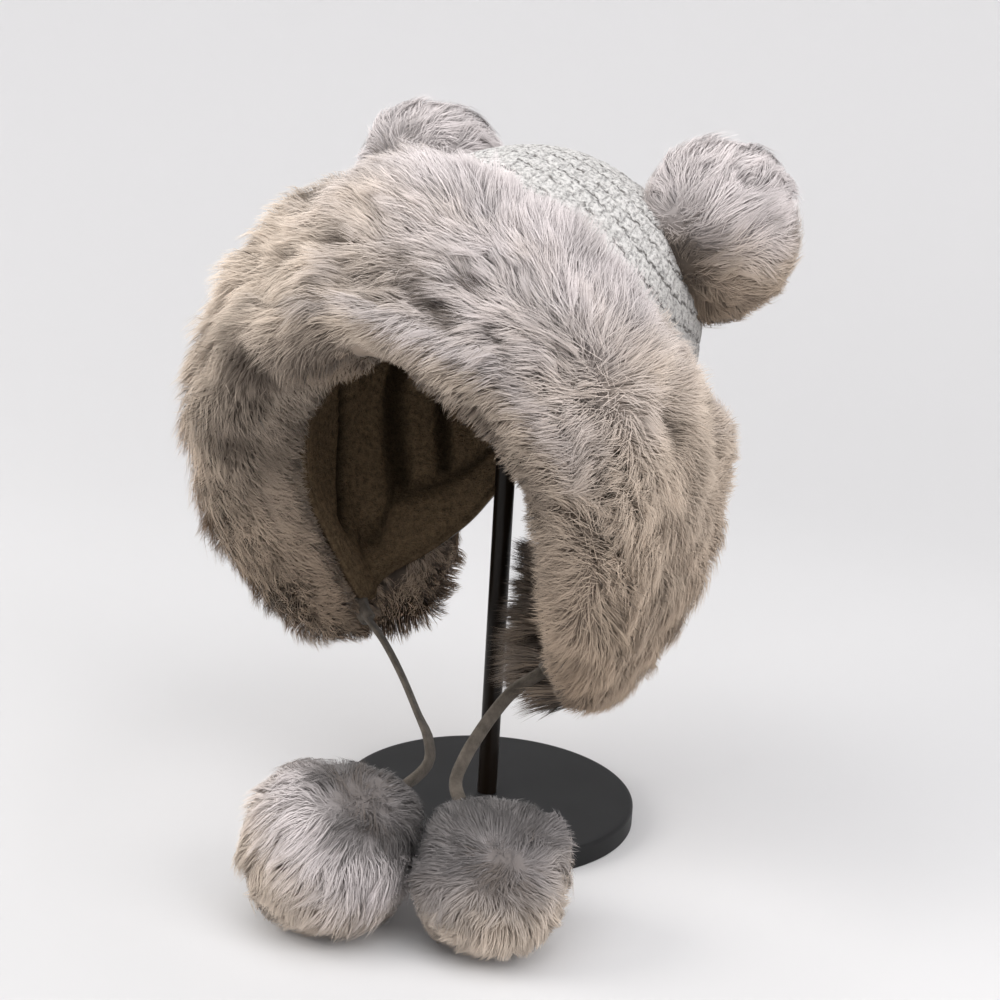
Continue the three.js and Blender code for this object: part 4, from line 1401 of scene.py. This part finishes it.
def knit_material(settings):
    """Heather boucle yarn. U and V count the stitches round and up; each row of stitches is shifted
    by half a stitch, with dark broken dashes between the rows and fainter ones between the stitches.
    The yarn is flecked by its curls, with painted shade in the hollows between the stitches and
    under the fur low on the crown."""
    tree = NodeTree("basket knit")
    yarn, dark = settings.yarn_colour, rgba(settings.gap_colour)
    uv = tree.add("ShaderNodeUVMap", {"uv_map": "UVMap"}).outputs["UV"]
    split = tree.add("ShaderNodeSeparateXYZ", Vector=uv)
    place = tree.coordinates()
    stray = tree.minus(tree.noise(place, 260.0, 2.0), 0.5)
    up = tree.plus(split.outputs["Y"], tree.times(stray, 0.25))
    shift = tree.times(tree.math("FLOORED_MODULO", tree.math("FLOOR", up), 2.0), 0.5)
    across = tree.plus(tree.plus(split.outputs["X"], shift), tree.times(stray, 0.4))
    beside, above = (
        tree.times(tree.math("ABSOLUTE", tree.minus(tree.math("FRACT", k), 0.5)), 2.0)
        for k in (across, up)
    )
    row_gap = tree.times(tree.smooth(above, 0.7, 0.92), tree.minus(1.0, tree.smooth(beside, 0.45, 0.8)))
    for scale, low, high in ((120.0, 0.32, 0.54), (380.0, 0.32, 0.5)):
        row_gap = tree.times(row_gap, tree.smooth(tree.noise(place, scale, 2.0), low, high))
    between = tree.minus(1.0, tree.smooth(above, 0.5, 0.9))
    column_gap = tree.times(tree.times(tree.smooth(beside, 0.82, 0.98), between), 0.32)
    gap = tree.math("MAXIMUM", row_gap, column_gap)
    curls = tree.noise(place, 470.0, 4.0, 0.72)
    flecks = [(0.37, rgba(yarn, 0.42)), (0.47, rgba(yarn, 0.88)), (0.6, rgba(yarn, 1.2, 0.95))]
    flecked = tree.ramp(curls, flecks)
    # Painted shade in the hollows between the stitches, on the turned hem and along the ridge
    painted_shade = tree.times(tree.math("POWER", tree.attribute("hollow"), 1.5), 0.35)
    shade = tree.blend(tree.math("MAXIMUM", tree.times(gap, 0.95), painted_shade), flecked, dark)
    # Painted shade under the fur, low on the crown
    low = tree.smooth(tree.part(place, "Z"), 0.3, 0.25)
    shade = tree.blend(tree.times(low, 0.5), shade, dark)
    tree.bump(tree.minus(tree.times(curls, 1.3), gap), 0.9, 0.0018)
    return tree.finish(shade, Roughness=0.95, Specular_IOR_Level=0.12, **NAP_SHEEN)


def stitch_pillows(base, across, up):
    """Height of the stitches, 0 to 1: pillows laid like bricks, half a stitch aside in every other row,
    that fall off steeply between the rows and less between the stitches, with smooth noise."""
    shifted = across + 0.5 * (np.floor(up) % 2)
    beside, above = np.abs(2 * (shifted % 1) - 1), np.abs(2 * (up % 1) - 1)
    uneven = 0.75 + 0.3 * wander(base, 11, 81)
    between_rows_drop = uneven * above**6 * (1 - 0.9 * beside**2)
    between_stitches_drop = 0.5 * uneven * beside**6 * (1 - above**4)
    pillow = 1 - between_rows_drop - between_stitches_drop
    return np.clip(pillow + 0.1 * wander(base, 5, 82), 0, 1)


class TRAPPERHAT_OT_knit_crown(bpy.types.Operator):
    """Builds the knit crown: pillow-shaped stitches laid like bricks, with a turned hem"""

    bl_idname = "trapper_hat.knit_crown"
    bl_label = "Knit Crown"

    def execute(self, context):
        settings = context.scene.trapper_hat_knit
        columns = settings.stitches_around * 5
        angles = 180 + np.arange(columns) * 360 / columns
        fine = KNIT_FINE_FROM
        rows = np.concatenate([even_rows(46, 0.0, fine)[:-1], even_rows(104, fine, ROWS)])
        base = shell(angles[None, :], rows[:, None])
        length = np.concatenate([
            np.zeros((1, columns)),
            np.cumsum(np.linalg.norm(np.diff(base, axis=0), axis=-1), 0),
        ])
        ring = np.argmin(np.abs(rows - LOWER_ROWS))
        across = (angles[None, :] - 180) / 360 * settings.stitches_around
        up = (length - length[ring]) * MM / settings.stitch_height
        pillow = stitch_pillows(base, across, up)
        lift = KNIT_OUTER - KNIT_GAP_DEPTH + pillow * settings.relief / MM
        seam = np.clip((ROWS - rows) / 0.25, 0.35, 1)[:, None]
        normal = shell_normal(angles[None, :], rows[:, None])
        outer = base + normal * (lift * seam)[..., None]
        edge_out = past_edge(angles, 0)
        hem = np.stack([base[0] + normal[0] * offset + edge_out * out for offset, out in TURNED_HEM])
        grid = np.concatenate([hem, outer])
        # Painted shade marked at the points: the hollows between stitches, a little on the turned hem,
        # fully along the ridge
        hollow = np.concatenate([np.full((len(hem), columns), 0.2), 1 - pillow])
        hollow[-1] = 1
        uv = np.stack(np.broadcast_arrays(across, up), -1)
        uv = np.concatenate([np.repeat(uv[:1], len(hem), 0), uv])
        index = ridge_seam(len(grid), columns)
        turn = np.abs((angles + 180) % 360 - 180)
        grid_rows = np.concatenate([np.full(len(hem), -1), rows])[:-1, None]
        hidden = (grid_rows < KNIT_HIDDEN[1]) & (turn[None, :] < KNIT_HIDDEN[0])
        quads, triangles = faces_of(index, ~hidden)
        points, quads, triangles, hollow, uv = without_unused(
            seated(grid.reshape(-1, 3)), quads, triangles, hollow.ravel(), uv.reshape(-1, 2)
        )
        piece = build_mesh(
            "knit_crown_stitches", points, quads, triangles, {"hollow": hollow}, uv,
            turn=settings.stitches_around,
        )
        finish_piece(piece, knit_material(settings), "knit_crown")
        return {"FINISHED"}


def plush_material(settings):
    """Short plush: mottled nap with painted shade where the mesh marks it, in the sewn channels and
    along the hem, with a fine fibre bump.
    """
    tree = NodeTree("plush lining")
    place = tree.coordinates()
    nap = tree.noise(place, 340.0, 4.0, 0.75)
    fibre = tree.noise(place, 1300.0, 3.0, 0.7)
    worn = tree.noise(place, 30.0, 2.0)
    colour = settings.plush_colour
    mottle = tree.plus(tree.times(nap, 0.6), tree.times(fibre, 0.4))
    base = tree.ramp(mottle, [(0.36, rgba(colour, 0.35)), (0.62, rgba(colour, 1.8))])
    shade = tree.blend(tree.times(worn, 0.4), base, rgba(colour, 0.85))
    # Painted shade in the channels, along the hem and on the piping
    shade = tree.blend(tree.times(tree.attribute("painted_shade"), 0.85), shade, rgba(colour, 0.1))
    tree.bump(mottle, 1.0, 0.003)
    return tree.finish(shade, Roughness=1.0, Specular_IOR_Level=0.05)


def lining_channels(angles, rows):
    """Depth of the sewn channels, 0 to 1: valleys up the lining at the channel angles, which end some
    way above the hem, at a valley that runs along it from the ear flaps to the back."""
    turn = np.abs((angles + 180) % 360 - 180)[None, :]
    height = rows[:, None] / LOWER_ROWS * (band("fur_top", angles) - band("hem", angles))
    end = np.interp(turn, [78, 84, 114, 122, 180], [27, 22, 17, 33, 28])
    depth = np.zeros(height.shape)
    for middles, half_width in LINING_CHANNELS:
        middle = eased([1, 2.5, 4, 6], middles, rows)[:, None]
        across = (turn - middle) * LINING_MM_PER_DEGREE
        depth = np.maximum(depth, np.exp(-((across / half_width) ** 4)))
    level = np.exp(-(((height - end) / 4.5) ** 2)) * ramp_up(turn, 84, 6) * 0.8
    depth = np.maximum(depth * ramp_up(height, end, 5), level)
    return depth * ramp_down(rows, ROWS - 1.5, 1.5)[:, None]


def lining_wall(settings):
    """Points, faces and painted depth shade of the lining: a wall between an even outer side and an inner
    side that puffs out between its sewn channels, joined along the hem."""
    angles = np.arange(LINING_COLUMNS) * 360 / LINING_COLUMNS
    rows = even_rows(LINING_ROWS, 0.0, ROWS)
    channel = lining_channels(angles, rows)
    puff = 1.6 * ramp_up(rows, 0, 1.2) * ramp_down(rows, 8, 2)
    inner_offset = settings.channel_depth / MM * channel - puff[:, None] * (1 - channel)
    inner_offset = inner_offset - settings.thickness / MM
    outer_offset = np.full(inner_offset.shape, -0.25)
    outer, inner = (
        shell_offset(angles[None, :], rows[:, None], offset).reshape(-1, 3)
        for offset in (outer_offset, inner_offset)
    )
    index = ridge_seam(LINING_ROWS, LINING_COLUMNS)
    count = len(outer)
    inner_quads, inner_triangles = faces_of(index + count)
    outer_quads, outer_triangles = faces_of(index)
    low, following = index[0], np.roll(index[0], -1)
    rim = np.stack([low, low + count, following + count, following], -1)
    quads = np.concatenate([outer_quads, inner_quads[:, ::-1], rim])
    triangles = np.concatenate([outer_triangles, inner_triangles[:, ::-1]])
    # Painted shade: the sewn channels and the hem, and the hidden outer side
    hem_shade = 0.45 * ramp_down(rows, 0.35, 0.35)[:, None]
    painted_shade = np.append(np.full(count, 0.45), np.maximum(channel, hem_shade))
    return without_unused(seated(np.concatenate([outer, inner])), quads, triangles, painted_shade)


def hem_rope():
    """Points and quads of the piping: a round rope of 1.9 mm radius that runs along the lining's hem."""
    angles = np.arange(LINING_COLUMNS) * 360 / LINING_COLUMNS
    turn = np.linspace(0, 2 * math.pi, PIPING_SIDES, endpoint=False)
    normal, out = shell_normal(angles, np.zeros(LINING_COLUMNS)), past_edge(angles, 0)
    middle = shell(angles, np.zeros(LINING_COLUMNS)) - normal * 3.0 + out * 0.4
    rings = middle[:, None] + 1.9 * (
        normal[:, None] * np.cos(turn)[None, :, None] + out[:, None] * np.sin(turn)[None, :, None]
    )
    index = np.arange(LINING_COLUMNS * PIPING_SIDES).reshape(LINING_COLUMNS, PIPING_SIDES)
    following, beside = np.roll(index, -1, 0), np.roll(index, -1, 1)
    quads = np.stack([index, following, np.roll(following, -1, 1), beside], -1).reshape(-1, 4)
    return seated(rings.reshape(-1, 3)), quads


class TRAPPERHAT_OT_lining(bpy.types.Operator):
    """Builds the plush lining with its sewn channels and the piping along its hem"""

    bl_idname = "trapper_hat.lining"
    bl_label = "Plush Lining"

    def execute(self, context):
        settings = context.scene.trapper_hat_lining
        material = plush_material(settings)
        points, quads, triangles, painted_shade = lining_wall(settings)
        wall = build_mesh("plush_lining_shell", points, quads, triangles, {"painted_shade": painted_shade})
        finish_piece(wall, material, "plush_lining")
        points, quads = hem_rope()
        # Painted shade on the piping
        shade = {"painted_shade": np.full(len(points), 0.4)}
        rope = build_mesh("hem_piping", points, quads, attributes=shade)
        finish_piece(rope, material, "plush_lining")
        return {"FINISHED"}


def turned_profile(radii, heights, spokes):
    """Closed surface of revolution about the pole's axis through a profile of radii and heights."""
    rings = revolved(radii, heights, spokes)
    return closed_tube(rings, [0, 0, heights[0]], [0, 0, heights[-1]])


def metal_material(name, colour, roughness, wear):
    """Black painted metal: faint dust and wear in the colour and fine orange-peel in the bump."""
    tree = NodeTree(name)
    place = tree.coordinates()
    cloud = tree.noise(place, 18.0, 4.0)
    grain = tree.noise(place, 2200.0, 2.0)
    dust = tree.times(tree.minus(cloud, 0.35), wear, True)
    shade = tree.blend(dust, rgba(colour), rgba(DUST_COLOUR))
    tree.bump(grain, 0.12, 0.0002)
    rough = tree.plus(tree.times(cloud, 0.16), roughness - 0.08)
    return tree.finish(shade, Roughness=rough, Specular_IOR_Level=0.17)


class TRAPPERHAT_OT_stand(bpy.types.Operator):
    """Builds the display stand's bevelled round base and thin pole, and paints the dome under the crown"""

    bl_idname = "trapper_hat.stand"
    bl_label = "Display Stand"

    def execute(self, context):
        settings = context.scene.trapper_hat_stage
        radius, thick = settings.base_radius, settings.base_thickness
        bevel, foot = BASE_EDGE_BEVEL, BASE_FOOT_BEVEL
        arc = np.linspace(0, math.pi / 2, 6)
        side = np.linspace(foot, thick - bevel, 3)
        radii = np.concatenate([
            [radius - 2 * foot], radius - foot + foot * np.sin(arc), np.full(3, radius),
            radius - bevel + bevel * np.cos(arc), [radius - 2 * bevel, radius * 0.5],
        ])
        heights = np.concatenate([
            [0], foot - foot * np.cos(arc), side, thick - bevel + bevel * np.sin(arc), [thick, thick],
        ])
        matte = metal_material("base paint", (0.011, 0.011, 0.0115), 0.5, 0.1)
        gloss = metal_material("pole gloss", (0.008, 0.005, 0.003), 0.3, 0.02)
        low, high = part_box("stand_pole")
        rod_heights = [low.z, (low.z + high.z) / 2, high.z]
        for name, node, material, profile, spokes in (
            ("stand_base_disc", "stand_base", matte, (radii, heights), 160),
            ("stand_pole_rod", "stand_pole", gloss, ([settings.pole_radius] * 3, rod_heights), 48),
        ):
            piece = build_mesh(name, *turned_profile(*profile, spokes))
            finish_piece(piece, material, node)
            piece.data.set_sharp_from_angle(angle=SHARP_EDGE)
        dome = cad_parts["stand_dome"]
        dome.data.materials.clear()
        dome.data.materials.append(metal_material("dome paint", (0.03, 0.03, 0.03), 0.5, 0.2))
        return {"FINISHED"}


class TRAPPERHAT_PT_panel(bpy.types.Panel):
    """Lists the pieces of the hat in the sidebar"""

    bl_idname = "TRAPPERHAT_PT_panel"
    bl_label = "Trapper Hat"
    bl_space_type = "VIEW_3D"
    bl_region_type = "UI"
    bl_category = "Trapper Hat"

    def draw(self, context):
        for operator in OPERATORS:
            self.layout.operator(operator.bl_idname)
        for group in GROUPS:
            box = self.layout.box()
            settings = getattr(context.scene, group)
            for key in settings.bl_rna.properties.keys():
                if key not in ("rna_type", "name"):
                    box.prop(settings, key)


GROUPS = {
    "trapper_hat_fur": TrapperHatFur,
    "trapper_hat_knit": TrapperHatKnit,
    "trapper_hat_lining": TrapperHatLining,
    "trapper_hat_stage": TrapperHatStage,
}
OPERATORS = (
    TRAPPERHAT_OT_stage,
    TRAPPERHAT_OT_ties,
    TRAPPERHAT_OT_fur_trim,
    TRAPPERHAT_OT_ear_pompoms,
    TRAPPERHAT_OT_knit_crown,
    TRAPPERHAT_OT_lining,
    TRAPPERHAT_OT_stand,
)


def register():
    for cls in (*GROUPS.values(), *OPERATORS, TRAPPERHAT_PT_panel):
        bpy.utils.register_class(cls)
    for key, group in GROUPS.items():
        setattr(bpy.types.Scene, key, PointerProperty(type=group))


def unregister():
    for key in GROUPS:
        delattr(bpy.types.Scene, key)
    for cls in reversed((*GROUPS.values(), *OPERATORS, TRAPPERHAT_PT_panel)):
        bpy.utils.unregister_class(cls)


def main():
    register()
    bpy.ops.trapper_hat.stage()
    bpy.ops.trapper_hat.ties()
    bpy.ops.trapper_hat.fur_trim()
    bpy.ops.trapper_hat.ear_pompoms()
    bpy.ops.trapper_hat.knit_crown()
    bpy.ops.trapper_hat.lining()
    bpy.ops.trapper_hat.stand()


if __name__ == "__main__":
    main()
